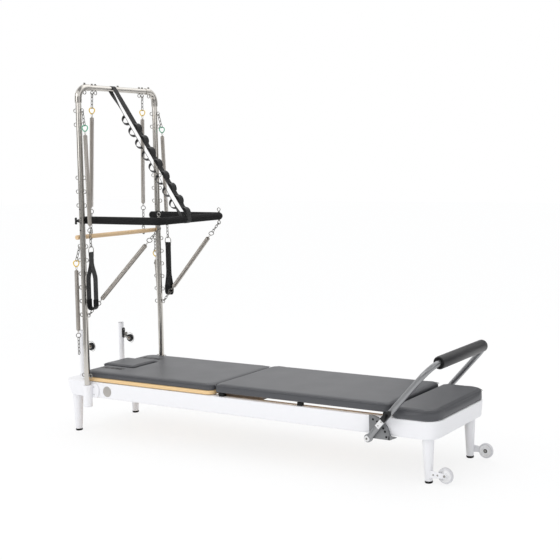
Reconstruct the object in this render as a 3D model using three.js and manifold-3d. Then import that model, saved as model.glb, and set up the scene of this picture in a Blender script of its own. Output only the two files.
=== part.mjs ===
// Pilates tower unit: a reformer bed made up as a flat mat, with a spring tower at its head end.
// Millimetres. x runs from the head end to the foot end, y from the near side to the far side, z up.
// The model is drawn with x = 0 at the head end's outer face and is moved to its middle at the end.
import * as THREE from 'three';
import { mergeVertices } from 'three/addons/utils/BufferGeometryUtils.js';
import Module from 'manifold-3d';

const wasm = await Module();
wasm.setup();

// Gaps and cuts
const seat = 0.3;
const runGap = 1;
const overrun = 6;
const weld = 0.0001;
const bite = 1.5;

// Faces of round pieces
const roundSides = 14;
const tubeSides = 10;
const springSides = 8;
const wireSides = 4;
const eyeSides = 3;
const ringSteps = 6;
const arcSteps = 3;
const linkSteps = 3;

// Bed frame
const bedLength = 2630;
const bedHalfWidth = 321;
const railTop = 333;
const railHeight = 95;
const railThick = 45;
const railEdge = 8;
const headBeamLength = 115;
const footBeamLength = 132;
const headCorner = 60;
const footCorner = 110;
const headDraft = 24;
const footDraft = 33;
const endWall = 42;
const endPocketHalf = 200;
const endPocketRoof = 14;

// Carriage tracks on the inner sides of the rails
const trackThick = 12;
const trackTop = 333;
const trackBottom = 286;
const trackLedge = 20;
const trackLedgeThick = 8;

// Legs, rubber feet and transport wheels
const legInset = 62;
const headLegX = 55;
const footLegFromEnd = 128;
const legTopRadius = 32;
const legFootRadius = 20.5;
const rubberHeight = 12;
const rubberRadius = 21.5;
const rubberWall = 3;
const wheelRadius = 42;
const wheelWidth = 22;
const wheelFromEnd = 31;
const wheelCentreZ = 50;
const wheelTread = 9;
const hubRadius = 17;
const wheelBore = 5.6;
const axleRadius = 5;
const bracketThick = 5;
const bracketHeight = 44;

// Foot platform
const platformFromEnd = 5;
const platformLength = 313;
const platformEnd = bedLength - platformFromEnd;
const platformStart = platformEnd - platformLength;
const platformBoardThick = 11;
const platformTop = 393;
const platformInset = 8;
const platformOverhang = 4;
const platformCorner = 80;
const platformInnerCorner = 42;

// Spring bar between the rails, in front of the foot platform
const springBarFromEnd = 395;
const springBarX = bedLength - springBarFromEnd;
const springBarZ = 262;
const springBarRadius = 12;
const springPegs = 5;
const springPegPitch = 95;
const springPegRadius = 5;
const springPegHeight = 20;

// Carriage
const deckInset = 10;
const carriageStart = 155;
const carriageEnd = 1171;
const carriageHalf = bedHalfWidth - deckInset;
const carriageBoardBottom = 336;
const carriageBoardThick = 24;
const carriageTop = 394;
const carriageCorner = 48;
const axleInset = 130;
const rollerRadius = 15;
const rollerWidth = 14;
const rollerAxleRadius = 5;
const trunnionLength = 26;
const trunnionThick = 10;

// Headrest and the sockets for shoulder rests
const headrestLength = 248;
const headrestHalf = 112;
const headrestGap = 3;
const headrestOverhang = 26;
const headrestBoardThick = 10;
const headrestTop = 403;
const headrestCorner = 14;
const socketPlateStart = 190;
const socketPlateLength = 176;
const socketPlateY = 178;
const socketPlateWidth = 52;
const socketPlateDepth = 3;

// Mat insert laid over the rails
const insertStartGap = 6;
const insertEndGap = 9;
const insertStart = carriageEnd + insertStartGap;
const insertEnd = platformStart - insertEndGap;
const insertLength = insertEnd - insertStart;
const insertHalf = bedHalfWidth - deckInset;
const insertBottom = 347;
const insertBoardThick = 12;
const insertBoardInset = 4;
const insertTop = 402;
const insertCorner = 36;
const blockLength = 30;
const blockWidth = 26;
const blockShares = [0.034, 0.496, 0.964];
const blockPlaces = blockShares.map((share) => insertStart + share * insertLength);
const battenLength = 160;
const battenHalf = 190;
const battenDrop = 24;
const battenInset = 70;

// Cushion form
const cushionDrawIn = 2.5;
const cushionCrown = 3;
const cushionRound = 9;
const cushionSideSteps = 3;
const cushionCornerSteps = 3;
const crownShares = [0.25, 0.6];

// Tower sockets on the rails
const postX = 220;
const postOut = 22;
const postY = bedHalfWidth + postOut;
const postRadius = 17.5;
const postFit = 0.35;
const socketRadius = 27.5;
const socketBottom = 184;
const socketTop = 316;
const socketFloor = 10;
const saddleThick = 7;
const saddleBack = 38;
const saddleFront = 74;
const saddleEdge = 14;

// Tower posts, with eyebolts through them along the bed
const barZ = 2130;
const pushDrop = 805;
const pushZ = barZ - pushDrop;
const bendRadius = 68;
const elbowRadius = 21;
const elbowDrop = 94;
const elbowReach = 88;
const elbowBore = 58;
const eyeRadius = 11;
const eyeWire = 2.5;
const eyeOut = 29;
const eyePitch = 84;
const lowestEyeUp = 60;
const lowestEyeZ = socketTop + lowestEyeUp;
const lowerEyesDrop = 577;
const lowerEyesZ = pushZ - lowerEyesDrop;
const lowerEyes = 6;
const middleEyesUp = 91;
const middleEyesZ = pushZ + middleEyesUp;
const middleEyes = 3;
const topEyesDrop = 226;
const topEyesZ = barZ - topEyesDrop;
const topEyes = 2;
const barEyeNutRadius = 7;
const barEyeNutHeight = 8;
const barEyeDrop = 30;
const barEyeIn = 117;
const barInnerEyeIn = 146;
const barEndEyeIn = 55;
const barEyeY = postY - barEyeIn;
const barInnerEyeY = postY - barInnerEyeIn;
const barEndEyeY = postY - barEndEyeIn;

// Push-through bar
const pushArmIn = 45;
const pushArmY = postY - pushArmIn;
const pushReach = 565;
const pushCrossX = postX + pushReach;
const pushTubeRadius = 13;
const pushBend = 44;
const foamRadius = 23;
const foamBore = 13.4;
const foamBack = 17;
const tubeBack = 12;
const pivotRadius = 6;
const pivotFit = 0.5;
const cornerEyeShank = 4;
const cornerEyeOut = 41;
const knobHubRadius = 12;
const knobHubLength = 18;
const knobStem = 34;
const knobBarRadius = 7;
const knobBarHalf = 21;

// Springs and hooks
const springRadius = 12;
const springNeck = 3;
const springLength = 556;
const hangingSpringLength = 382;
const neckLength = 22;
const tagShare = 0.13;
const hookWire = 2.2;
const hookHalfWidth = 9;
const hookClear = 0.6;
const tagRadius = 13;
const tagWire = 3;
const coilRadius = 10.6;
const coilWire = 1.5;
const coilCurls = 14;
const coilCurlSteps = 8;
const coilSides = 5;
const coilEndRun = 7;

// Roll-down bar
const dowelRadius = 14;
const dowelOut = 20;
const dowelHalf = postY + dowelOut;
const dowelBack = 32;
const dowelX = postX - dowelBack;
const dowelDrop = 908;
const dowelZ = barZ - dowelDrop;
const dowelEyeIn = 105;
const dowelEyeY = postY - dowelEyeIn;
const dowelEyeOut = 25;
const dowelEnd = 3;

// Arm springs and handles: where each ring and each handle hangs
const armRingDrop = 250;
const armRingZ = barZ - armRingDrop;
const armRingOut = 9;
const armRingY = postY + armRingOut;
const nearArmRingReach = 55;
const farArmRingReach = 50;
const nearArmRingX = postX + nearArmRingReach;
const farArmRingX = postX + farArmRingReach;
const handleDrop = 980;
const handleZ = barZ - handleDrop;
const handleOut = 34;
const handleY = postY + handleOut;
const nearHandleReach = 98;
const farHandleReach = 54;
const nearHandleX = postX + nearHandleReach;
const farHandleX = postX + farHandleReach;
const handleLength = 365;
const handleLoop = 145;
const handleWidth = 42;
const handleHalf = 21;
const handleThick = 5;
const strapThick = 6;
const handleRing = 24;
const handleRingDrop = 14;
const ringArcs = 5;
const handleRingWire = 2.5;

// Springs that hang free at the head side of the posts
const legRingBack = 42;
const legRingX = postX - legRingBack;
const legRingOut = 19;
const legRingY = postY + legRingOut;
const legRingDrop = 263;
const legRingZ = pushZ - legRingDrop;
const legSpringRun = 556;
const legHookZ = legRingZ - legSpringRun;

// Stretched springs from the posts' lower eyes to the corners of the push-through bar
const pushHookLength = 112;
const pushTopHookLength = 107;

// Looped strap from the top bar to the push-through bar
const strapY = 50;
const strapWidth = 38;
const strapBand = 2.5;
const strapClear = 0.5;
const strapLoops = 8;
const strapLoopLength = 58;
const strapLoopPitch = 90;
const strapLoopHeight = 20;
const strapLoopLow = 143;
const strapLoopHigh = 300;
const strapLoopSteps = 4;
const strapTurnSteps = 8;

// Rope risers at the head end, with pulleys
const riserX = 23;
const riserY = 177;
const riserRadius = 17;
const riserTop = 620;
const riserCap = 3;
const mountZ = 549;
const mountHalfHeight = 34;
const mountRadius = 11;
const mountDepth = 9;
const swivelReach = 50;
const swivelDrop = 30;
const swivelEye = 6;
const pulleyRadius = 24;
const pulleyWidth = 13;
const pulleyGroove = 5;
const pulleyBore = 4.6;
const pulleyPin = 4;
const cheekThick = 3;
const cheekRadius = 12;
const cheekGap = 1;

// Footbar and its toothed quadrants
const footPivotFromEnd = 429;
const footPivotX = bedLength - footPivotFromEnd;
const footPivotZ = 222;
const footArmAngle = 47.6;
const footArmOut = 36;
const footArmY = bedHalfWidth + footArmOut;
const footTubeRadius = 16;
const footTubeStart = 30;
const footBarReach = 556;
const footBend = 92;
const bossRadius = 18;
const bossLength = 34;
const gripEndGap = 82;
const gripHalf = footArmY - gripEndGap;
const gripRadius = 30;
const gripBore = 17.6;
const gripEdge = 3;
const quadrantRadius = 120;
const quadrantThick = 6;
const quadrantDepth = 18;
const quadrantRim = 6;
const quadrantBack = 3;
const quadrantTail = 40;
const pinHoleRadius = 5.4;
const pinHoleOrbit = 100;
const pinHoleAngles = [7, 23.5, 34.7, 47.6, 62, 77.5];
const latchReach = 142;
const latchLength = 58;
const latchWidth = 36;
const latchThick = 14;
const latchPin = 4.5;

// Materials, one for each kind of surface
function paint(colour, roughness, metalness) {
  return new THREE.MeshStandardMaterial({ color: colour, roughness, metalness });
}
const white = () => paint(0xf0f0f2, 0.35, 0);
const steel = () => paint(0xb9b5b0, 0.25, 1);
const springSteel = () => paint(0xa8a19a, 0.35, 1);
const alloy = () => paint(0x969899, 0.4, 0.8);
const wood = () => paint(0xf0c88f, 0.55, 0);
const vinyl = () => paint(0x86878a, 0.6, 0);
const black = () => paint(0x1c1c1c, 0.7, 0);
const rubber = () => paint(0x2a2a2a, 0.85, 0);

// Geometry helpers
const at = (x, y, z) => new THREE.Vector3(x, y, z);
const sideways = at(0, 1, 0);
const endways = at(1, 0, 0);
const radians = (degrees) => THREE.MathUtils.degToRad(degrees);

function solidOf(geometry) {
  const bare = geometry.clone();
  bare.deleteAttribute('normal');
  bare.deleteAttribute('uv');
  const merged = mergeVertices(bare, weld);
  const vertProperties = Float32Array.from(merged.attributes.position.array);
  const triVerts = Uint32Array.from(merged.index.array);
  return new wasm.Manifold(new wasm.Mesh({ numProp: 3, vertProperties, triVerts }));
}

function geometryOf(solid) {
  const mesh = solid.getMesh();
  const geometry = new THREE.BufferGeometry();
  geometry.setAttribute('position', new THREE.BufferAttribute(mesh.vertProperties, 3));
  geometry.setIndex(new THREE.BufferAttribute(mesh.triVerts, 1));
  geometry.computeVertexNormals();
  return geometry;
}

function join(...geometries) {
  return geometryOf(geometries.map(solidOf).reduce((sum, next) => sum.add(next)));
}

function cut(geometry, ...tools) {
  return geometryOf(tools.map(solidOf).reduce((rest, tool) => rest.subtract(tool), solidOf(geometry)));
}

function block(x0, x1, y0, y1, z0, z1) {
  const geometry = new THREE.BoxGeometry(x1 - x0, y1 - y0, z1 - z0);
  return geometry.translate((x0 + x1) / 2, (y0 + y1) / 2, (z0 + z1) / 2);
}

// A round bar from one point to another, which may taper
function rod(from, to, radius, sides = roundSides, endRadius = radius) {
  const along = at(0, 0, 0).subVectors(to, from);
  const geometry = new THREE.CylinderGeometry(endRadius, radius, along.length(), sides);
  geometry.translate(0, along.length() / 2, 0);
  const turn = new THREE.Quaternion().setFromUnitVectors(at(0, 1, 0), along.clone().normalize());
  geometry.applyQuaternion(turn);
  return geometry.translate(from.x, from.y, from.z);
}

// An outline in x and z carried across the bed from y0 to y1
function acrossBed(shape, y0, y1) {
  const geometry = new THREE.ExtrudeGeometry(shape, {
    depth: y1 - y0,
    bevelEnabled: false,
    curveSegments: arcSteps,
  });
  geometry.applyMatrix4(new THREE.Matrix4().makeBasis(at(1, 0, 0), at(0, 0, 1), at(0, -1, 0)));
  return geometry.translate(0, y1, 0);
}

// An outline in y and z carried along the bed from x0 to x1
function alongBed(shape, x0, x1) {
  const geometry = new THREE.ExtrudeGeometry(shape, {
    depth: x1 - x0,
    bevelEnabled: false,
    curveSegments: arcSteps,
  });
  geometry.applyMatrix4(new THREE.Matrix4().makeBasis(at(0, 1, 0), at(0, 0, 1), at(1, 0, 0)));
  return geometry.translate(x0, 0, 0);
}

function outline(points) {
  return new THREE.Shape(points.map(([a, b]) => new THREE.Vector2(a, b)));
}

// A closed skin over rings of points; looped joins the last ring to the first, otherwise both ends close
function skin(rings, looped) {
  const count = rings[0].length;
  const points = rings.flat();
  const faces = [];
  const spans = looped ? rings.length : rings.length - 1;
  for (let ring = 0; ring < spans; ring += 1) {
    const here = ring * count;
    const there = ((ring + 1) % rings.length) * count;
    for (let k = 0; k < count; k += 1) {
      const n = (k + 1) % count;
      faces.push(here + k, here + n, there + n, here + k, there + n, there + k);
    }
  }
  if (!looped) {
    const lastRing = (rings.length - 1) * count;
    const middles = [rings[0], rings[rings.length - 1]].map((ring) => {
      const middle = ring.reduce((sum, point) => sum.add(point), at(0, 0, 0)).divideScalar(count);
      return points.push(middle) - 1;
    });
    for (let k = 0; k < count; k += 1) {
      const n = (k + 1) % count;
      faces.push(middles[0], n, k, middles[1], lastRing + k, lastRing + n);
    }
  }
  let volume = 0;
  for (let f = 0; f < faces.length; f += 3) {
    const [a, b, c] = faces.slice(f, f + 3).map((index) => points[index]);
    volume += a.dot(at(0, 0, 0).crossVectors(b, c));
  }
  if (volume < 0) faces.reverse();
  const geometry = new THREE.BufferGeometry();
  geometry.setAttribute('position', new THREE.Float32BufferAttribute(points.flatMap((p) => p.toArray()), 3));
  geometry.setIndex(faces);
  geometry.computeVertexNormals();
  return geometry;
}

// A tube over a list of points whose turns lie near one plane; side is square to that plane
function pipe(points, radius, sides, side, looped = false) {
  const last = points.length - 1;
  const rings = points.map((point, index) => {
    const before = points[index === 0 ? (looped ? last : 0) : index - 1];
    const after = points[index === last ? (looped ? 0 : last) : index + 1];
    const back = at(0, 0, 0).subVectors(point, before).normalize();
    const forth = at(0, 0, 0).subVectors(after, point).normalize();
    const along = back.clone().add(forth).normalize();
    const out = at(0, 0, 0).crossVectors(along, side).normalize();
    const up = at(0, 0, 0).crossVectors(out, along).normalize();
    const mitre = back.lengthSq() && forth.lengthSq() ? 1 / Math.max(along.dot(forth), Math.SQRT1_2) : 1;
    return Array.from({ length: sides }, (_, k) => {
      const angle = (2 * Math.PI * (k + 0.5)) / sides;
      const sideways = out.clone().multiplyScalar(radius * mitre * Math.cos(angle));
      return point.clone().add(sideways).add(up.clone().multiplyScalar(radius * Math.sin(angle)));
    });
  });
  return skin(rings, looped);
}

// A corner of a route: the arc that rounds the turn at corner between two straight runs
function roundCorner(before, corner, after, radius, steps = arcSteps) {
  const back = at(0, 0, 0).subVectors(before, corner).normalize();
  const forth = at(0, 0, 0).subVectors(after, corner).normalize();
  const half = back.angleTo(forth) / 2;
  const reach = radius / Math.tan(half);
  const centreWay = back.clone().add(forth).normalize();
  const centre = corner.clone().add(centreWay.multiplyScalar(radius / Math.sin(half)));
  const start = corner.clone().add(back.clone().multiplyScalar(reach)).sub(centre);
  const axis = at(0, 0, 0).crossVectors(forth, back).normalize();
  const sweep = Math.PI - 2 * half;
  return Array.from({ length: steps + 1 }, (_, step) =>
    start.clone().applyAxisAngle(axis, (sweep * step) / steps).add(centre));
}

// A ring of wire about a centre, square to its normal
function wireRing(centre, normal, radius, wire, steps = ringSteps) {
  const geometry = new THREE.TorusGeometry(radius, wire, eyeSides, steps);
  geometry.applyQuaternion(new THREE.Quaternion().setFromUnitVectors(at(0, 0, 1), normal));
  return geometry.translate(centre.x, centre.y, centre.z);
}

// A long wire link between two points: two straight sides and two half-round ends
function link(from, to, halfWidth, wire, sideways) {
  const along = at(0, 0, 0).subVectors(to, from).normalize();
  const across = sideways.clone().addScaledVector(along, -sideways.dot(along)).normalize();
  const normal = at(0, 0, 0).crossVectors(along, across);
  const points = [];
  for (const [end, sense] of [[from, -1], [to, 1]]) {
    const centre = end.clone().addScaledVector(along, -sense * halfWidth);
    for (let step = 0; step <= linkSteps; step += 1) {
      const angle = (Math.PI * step) / linkSteps;
      points.push(centre.clone()
        .addScaledVector(across, sense * halfWidth * Math.cos(angle))
        .addScaledVector(along, sense * halfWidth * Math.sin(angle)));
    }
  }
  return pipe(points, wire, wireSides, normal, true);
}

// A rounded rectangle's points, drawn in a little between its corners
function padOutline(x0, x1, halfWidth, corners, inset, drawIn, z) {
  const [startCorner, endCorner] = corners;
  const spec = [
    [x0 + startCorner, -halfWidth + startCorner, startCorner, Math.PI],
    [x1 - endCorner, -halfWidth + endCorner, endCorner, 1.5 * Math.PI],
    [x1 - endCorner, halfWidth - endCorner, endCorner, 0],
    [x0 + startCorner, halfWidth - startCorner, startCorner, 0.5 * Math.PI],
  ];
  const points = [];
  spec.forEach(([cx, cy, radius, from], index) => {
    const reach = Math.max(radius - inset, weld);
    for (let step = 0; step <= cushionCornerSteps; step += 1) {
      const angle = from + (Math.PI / 2) * (step / cushionCornerSteps);
      points.push(at(cx + reach * Math.cos(angle), cy + reach * Math.sin(angle), z));
    }
    const [nx, ny, nextRadius] = spec[(index + 1) % spec.length];
    const away = from + Math.PI / 2;
    const out = at(Math.cos(away), Math.sin(away), 0);
    const begin = points[points.length - 1].clone();
    const nextReach = Math.max(nextRadius - inset, weld);
    const finish = at(nx, ny, z).addScaledVector(out, nextReach);
    for (let step = 1; step < cushionSideSteps; step += 1) {
      const share = step / cushionSideSteps;
      const point = begin.clone().lerp(finish, share);
      points.push(point.addScaledVector(out, -drawIn * Math.sin(Math.PI * share)));
    }
  });
  return points;
}

// A cushion with a flat base, drawn-in sides, rounded edges and a low crown
function cushion(x0, x1, halfWidth, z0, z1, corners) {
  const levels = [
    [cushionRound / 3, z0, 0],
    [0, z0 + cushionRound / 3, cushionDrawIn / 2],
    [0, (z0 + z1) / 2, cushionDrawIn],
    [0, z1 - cushionCrown - cushionRound, cushionDrawIn / 2],
    [cushionRound / 3, z1 - cushionCrown - cushionRound / 3, 0],
    [cushionRound, z1 - cushionCrown, 0],
  ];
  const rings = levels.map(([inset, z, drawIn]) =>
    padOutline(x0, x1, halfWidth, corners, inset, drawIn, z));
  const rim = rings[rings.length - 1];
  const middle = at((x0 + x1) / 2, 0, z1);
  for (const share of crownShares) {
    rings.push(rim.map((point) => {
      const next = point.clone().lerp(middle, share);
      next.z = z1 - cushionCrown * (1 - share) ** 2;
      return next;
    }));
  }
  return skin(rings, false);
}

// Turns a far-side solid into its near-side twin
function mirrored(geometry) {
  const twin = geometry.index ? geometry.toNonIndexed() : geometry.clone();
  twin.scale(1, -1, 1);
  const places = twin.attributes.position;
  for (let k = 0; k < places.count; k += 3) {
    const first = at(0, 0, 0).fromBufferAttribute(places, k + 1);
    const second = at(0, 0, 0).fromBufferAttribute(places, k + 2);
    places.setXYZ(k + 1, second.x, second.y, second.z);
    places.setXYZ(k + 2, first.x, first.y, first.z);
  }
  twin.computeVertexNormals();
  return twin;
}

function piece(group, name, geometry, material, place) {
  const mesh = new THREE.Mesh(geometry, material);
  mesh.name = name;
  if (place) mesh.position.copy(place);
  group.add(mesh);
  return mesh;
}

// Adds a far piece and its near twin
function pair(group, name, geometry, material, place) {
  const nearPlace = place && at(place.x, -place.y, place.z);
  piece(group, `${name}_far`, geometry, material(), place);
  piece(group, `${name}_near`, mirrored(geometry), material(), nearPlace);
}

// Bed frame
const railBottom = railTop - railHeight;
const railInner = bedHalfWidth - railThick;

function sideRail() {
  const bevel = railEdge;
  const shape = outline([
    [railInner, railBottom],
    [bedHalfWidth - bevel, railBottom],
    [bedHalfWidth, railBottom + bevel],
    [bedHalfWidth, railTop - bevel],
    [bedHalfWidth - bevel, railTop],
    [railInner, railTop],
  ]);
  return alongBed(shape, headBeamLength + seat, bedLength - footBeamLength - seat);
}

function endOutline(inner, face, corner, z) {
  const sense = Math.sign(face - inner);
  const points = [at(inner, -bedHalfWidth, z)];
  for (const side of [-1, 1]) {
    for (let step = 0; step <= arcSteps; step += 1) {
      const angle = (Math.PI / 2) * (side < 0 ? step / arcSteps : 1 - step / arcSteps);
      const x = face - sense * corner * (1 - Math.sin(angle));
      const y = side * (bedHalfWidth - corner * (1 - Math.cos(angle)));
      points.push(at(x, y, z));
    }
  }
  points.push(at(inner, bedHalfWidth, z));
  return points;
}

function endBeam(inner, face, corner, draft) {
  const sense = Math.sign(face - inner);
  const lower = endOutline(inner, face - sense * draft, corner, railBottom);
  const upper = endOutline(inner, face, corner, railTop);
  const ends = [inner - sense * overrun, face - sense * (draft + endWall)];
  const pocket = block(
    Math.min(...ends), Math.max(...ends),
    -endPocketHalf, endPocketHalf,
    railBottom - overrun, railTop - endPocketRoof,
  );
  return cut(skin([lower, upper], false), pocket);
}

function carriageTrack() {
  const outer = railInner - seat;
  const ledgeTop = trackBottom + trackLedgeThick;
  const shape = outline([
    [outer - trackThick - trackLedge, trackBottom],
    [outer, trackBottom],
    [outer, trackTop],
    [outer - trackThick, trackTop],
    [outer - trackThick, ledgeTop],
    [outer - trackThick - trackLedge, ledgeTop],
  ]);
  return alongBed(shape, headBeamLength + seat, bedLength - footBeamLength - seat);
}

const legY = bedHalfWidth - legInset;
const footLegX = bedLength - footLegFromEnd;
const wheelX = bedLength - wheelFromEnd;

function leg(x) {
  const foot = at(x, legY, rubberHeight + seat);
  return rod(foot, at(x, legY, railBottom - seat), legFootRadius, roundSides, legTopRadius);
}

// The foot-end leg carries a plate and an axle for the transport wheel
function wheelLeg() {
  const plateInner = legY + wheelWidth / 2 + runGap;
  const plateOuter = plateInner + bracketThick;
  const half = bracketHeight / 2;
  const shape = outline([
    [footLegX, wheelCentreZ - half],
    [wheelX, wheelCentreZ - half / 2],
    [wheelX + half / 2, wheelCentreZ],
    [wheelX, wheelCentreZ + half / 2],
    [footLegX, wheelCentreZ + half],
  ]);
  const plate = acrossBed(shape, plateInner, plateOuter);
  const axleStart = at(wheelX, legY - wheelWidth / 2, wheelCentreZ);
  const axle = rod(axleStart, at(wheelX, plateOuter, wheelCentreZ), axleRadius, tubeSides);
  return join(leg(footLegX), plate, axle);
}

function rubberFoot() {
  return rod(at(0, 0, 0), at(0, 0, rubberHeight), rubberRadius - rubberWall, roundSides, rubberRadius);
}

function wheel() {
  const half = wheelWidth / 2;
  const rim = wheelRadius - wheelTread;
  const profile = [
    [wheelBore, -half],
    [hubRadius, -half],
    [rim, -half / 2],
    [wheelRadius - bite, -half],
    [wheelRadius, 0],
    [wheelRadius - bite, half],
    [rim, half / 2],
    [hubRadius, half],
    [wheelBore, half],
    [wheelBore, -half],
  ];
  return new THREE.LatheGeometry(profile.map(([a, b]) => new THREE.Vector2(a, b)), roundSides);
}

// Foot platform
const boardBottom = railTop + seat;

function platformBoard() {
  const x0 = platformStart + platformInset;
  const x1 = platformEnd - platformInset;
  const half = bedHalfWidth - platformInset;
  const corners = [platformInnerCorner, platformCorner];
  const lower = padOutline(x0, x1, half, corners, 0, 0, boardBottom);
  const upper = padOutline(x0, x1, half, corners, 0, 0, boardBottom + platformBoardThick);
  return skin([lower, upper], false);
}

function platformPad() {
  const z0 = boardBottom + platformBoardThick + seat;
  const half = bedHalfWidth + platformOverhang;
  return cushion(platformStart, platformEnd, half, z0, platformTop, [platformInnerCorner, platformCorner]);
}

function springBar() {
  const half = railInner - seat;
  const ends = [-half, half].map((y) => at(springBarX, y, springBarZ));
  const bar = rod(...ends, springBarRadius, tubeSides);
  const pegs = Array.from({ length: springPegs }, (_, index) => {
    const y = (index - (springPegs - 1) / 2) * springPegPitch;
    const base = at(springBarX, y, springBarZ);
    const tip = at(springBarX, y, springBarZ + springBarRadius + springPegHeight);
    return rod(base, tip, springPegRadius, tubeSides);
  });
  return join(bar, ...pegs);
}

// Carriage
const ledgeZ = trackBottom + trackLedgeThick;
const rollerZ = ledgeZ + rollerRadius + seat;
const rollerY = railInner - seat - trackThick - trackLedge / 2;
const carriageBoardTop = carriageBoardBottom + carriageBoardThick;
const axlePlaces = [carriageStart + axleInset, carriageEnd - axleInset];

function carriageBoard() {
  const corners = [carriageCorner, carriageCorner];
  const lower = padOutline(carriageStart, carriageEnd, carriageHalf, corners, 0, 0, carriageBoardBottom);
  const upper = padOutline(carriageStart, carriageEnd, carriageHalf, corners, 0, 0, carriageBoardTop);
  const inner = rollerY - rollerWidth / 2 - runGap;
  const bearings = axlePlaces.flatMap((x) => [-1, 1].map((side) => {
    const ends = [side * inner, side * (inner - trunnionThick)];
    const hanger = block(
      x - trunnionLength / 2, x + trunnionLength / 2,
      Math.min(...ends), Math.max(...ends),
      rollerZ - rollerRadius, carriageBoardBottom + bite,
    );
    const clear = rollerAxleRadius + pivotFit;
    const bore = rod(
      at(x, Math.min(...ends) - overrun, rollerZ),
      at(x, Math.max(...ends) + overrun, rollerZ),
      clear,
      tubeSides,
    );
    return cut(hanger, bore);
  }));
  return join(skin([lower, upper], false), ...bearings);
}

// Two rollers on one axle, which run on the ledges of the tracks
function rollerAxle() {
  const inner = rollerY - rollerWidth / 2;
  const outer = rollerY + rollerWidth / 2;
  const profile = [
    [0, -outer],
    [rollerRadius, -outer],
    [rollerRadius, -inner],
    [rollerAxleRadius, -inner],
    [rollerAxleRadius, inner],
    [rollerRadius, inner],
    [rollerRadius, outer],
    [0, outer],
  ];
  return new THREE.LatheGeometry(profile.map(([a, b]) => new THREE.Vector2(a, b)), tubeSides);
}

const headrestStart = carriageStart - headrestOverhang;
const headrestEnd = headrestStart + headrestLength;

function carriagePad() {
  const z0 = carriageBoardTop + seat;
  const corners = [carriageCorner, carriageCorner];
  const body = cushion(carriageStart, carriageEnd, carriageHalf, z0, carriageTop, corners);
  const recess = block(
    carriageStart - overrun, headrestEnd + headrestGap,
    -headrestHalf - headrestGap, headrestHalf + headrestGap,
    z0 - overrun, carriageTop + overrun,
  );
  const sockets = [-1, 1].map((side) => block(
    socketPlateStart, socketPlateStart + socketPlateLength,
    side * socketPlateY - socketPlateWidth / 2, side * socketPlateY + socketPlateWidth / 2,
    carriageTop - cushionCrown - socketPlateDepth, carriageTop + overrun,
  ));
  return cut(body, recess, ...sockets);
}

function headrestBoard() {
  const z0 = carriageBoardTop + seat;
  return block(headrestStart, headrestEnd, -headrestHalf, headrestHalf, z0, z0 + headrestBoardThick);
}

function headrestPad() {
  const z0 = carriageBoardTop + seat + headrestBoardThick + seat;
  return cushion(headrestStart, headrestEnd, headrestHalf, z0, headrestTop, [headrestCorner, headrestCorner]);
}

// Mat insert
function insertBoard() {
  const corners = [insertCorner, insertCorner];
  const half = insertHalf - insertBoardInset;
  const x0 = insertStart + insertBoardInset;
  const x1 = insertEnd - insertBoardInset;
  const lower = padOutline(x0, x1, half, corners, 0, 0, insertBottom);
  const upper = padOutline(x0, x1, half, corners, 0, 0, insertBottom + insertBoardThick);
  const blocks = blockPlaces.flatMap((x) => [-1, 1].map((side) => {
    const ends = [side * (half - bite), side * (half - blockWidth)];
    const [y0, y1] = [Math.min(...ends), Math.max(...ends)];
    return block(x, x + blockLength, y0, y1, railTop + seat, insertBottom + bite);
  }));
  const battens = [x0 + battenInset, x1 - battenInset - battenLength].map((x) =>
    block(x, x + battenLength, -battenHalf, battenHalf, insertBottom - battenDrop, insertBottom + bite));
  return join(skin([lower, upper], false), ...blocks, ...battens);
}

function insertPad() {
  const z0 = insertBottom + insertBoardThick + seat;
  return cushion(insertStart, insertEnd, insertHalf, z0, insertTop, [insertCorner, insertCorner]);
}

// Tower sockets, posts and top bar
const postBottom = socketBottom + socketFloor + seat;
const elbowEndZ = barZ - elbowDrop;
const postTop = elbowEndZ + elbowBore - seat;

function towerSocket() {
  const tube = rod(at(postX, postY, socketBottom), at(postX, postY, socketTop), socketRadius);
  const x0 = postX - saddleBack;
  const x1 = postX + saddleFront;
  const shape = outline([
    [x0 + saddleEdge, railBottom],
    [x1 - saddleEdge, railBottom],
    [x1, railBottom + saddleEdge],
    [x1 - saddleEdge / 2, railTop - saddleEdge],
    [x1 - saddleEdge, railTop - railEdge],
    [x0, railTop - railEdge],
    [x0, railBottom + saddleEdge],
  ]);
  const saddle = acrossBed(shape, bedHalfWidth + seat, bedHalfWidth + seat + saddleThick);
  const flat = block(
    postX - socketRadius - overrun, postX + socketRadius + overrun,
    bedHalfWidth - socketRadius, bedHalfWidth + seat,
    socketBottom - overrun, socketTop + overrun,
  );
  const bore = rod(
    at(postX, postY, socketBottom + socketFloor), at(postX, postY, railTop), postRadius + postFit,
  );
  return cut(join(tube, saddle), flat, bore);
}

function eyeHeights() {
  const rows = [[lowestEyeZ, 1], [lowerEyesZ, lowerEyes], [middleEyesZ, middleEyes], [topEyesZ, topEyes]];
  return rows.flatMap(([z, count]) => Array.from({ length: count }, (_, index) => z + index * eyePitch));
}

function towerPost() {
  const tube = rod(at(postX, postY, postBottom), at(postX, postY, postTop), postRadius);
  const eyes = eyeHeights().flatMap((z) => [-1, 1].map((side) =>
    wireRing(at(postX + side * eyeOut, postY, z), at(0, 1, 0), eyeRadius, eyeWire)));
  const pivot = rod(
    at(postX, postY - postRadius - overrun, pushZ), at(postX, postY + postRadius + overrun, pushZ),
    pivotRadius + pivotFit, tubeSides,
  );
  return cut(join(tube, ...eyes), pivot);
}

function elbow() {
  const corner = at(postX, postY, barZ);
  const low = at(postX, postY, elbowEndZ);
  const inner = at(postX, postY - elbowReach, barZ);
  const route = [low, ...roundCorner(low, corner, inner, bendRadius), inner];
  return pipe(route, elbowRadius, roundSides, at(1, 0, 0));
}

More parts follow.
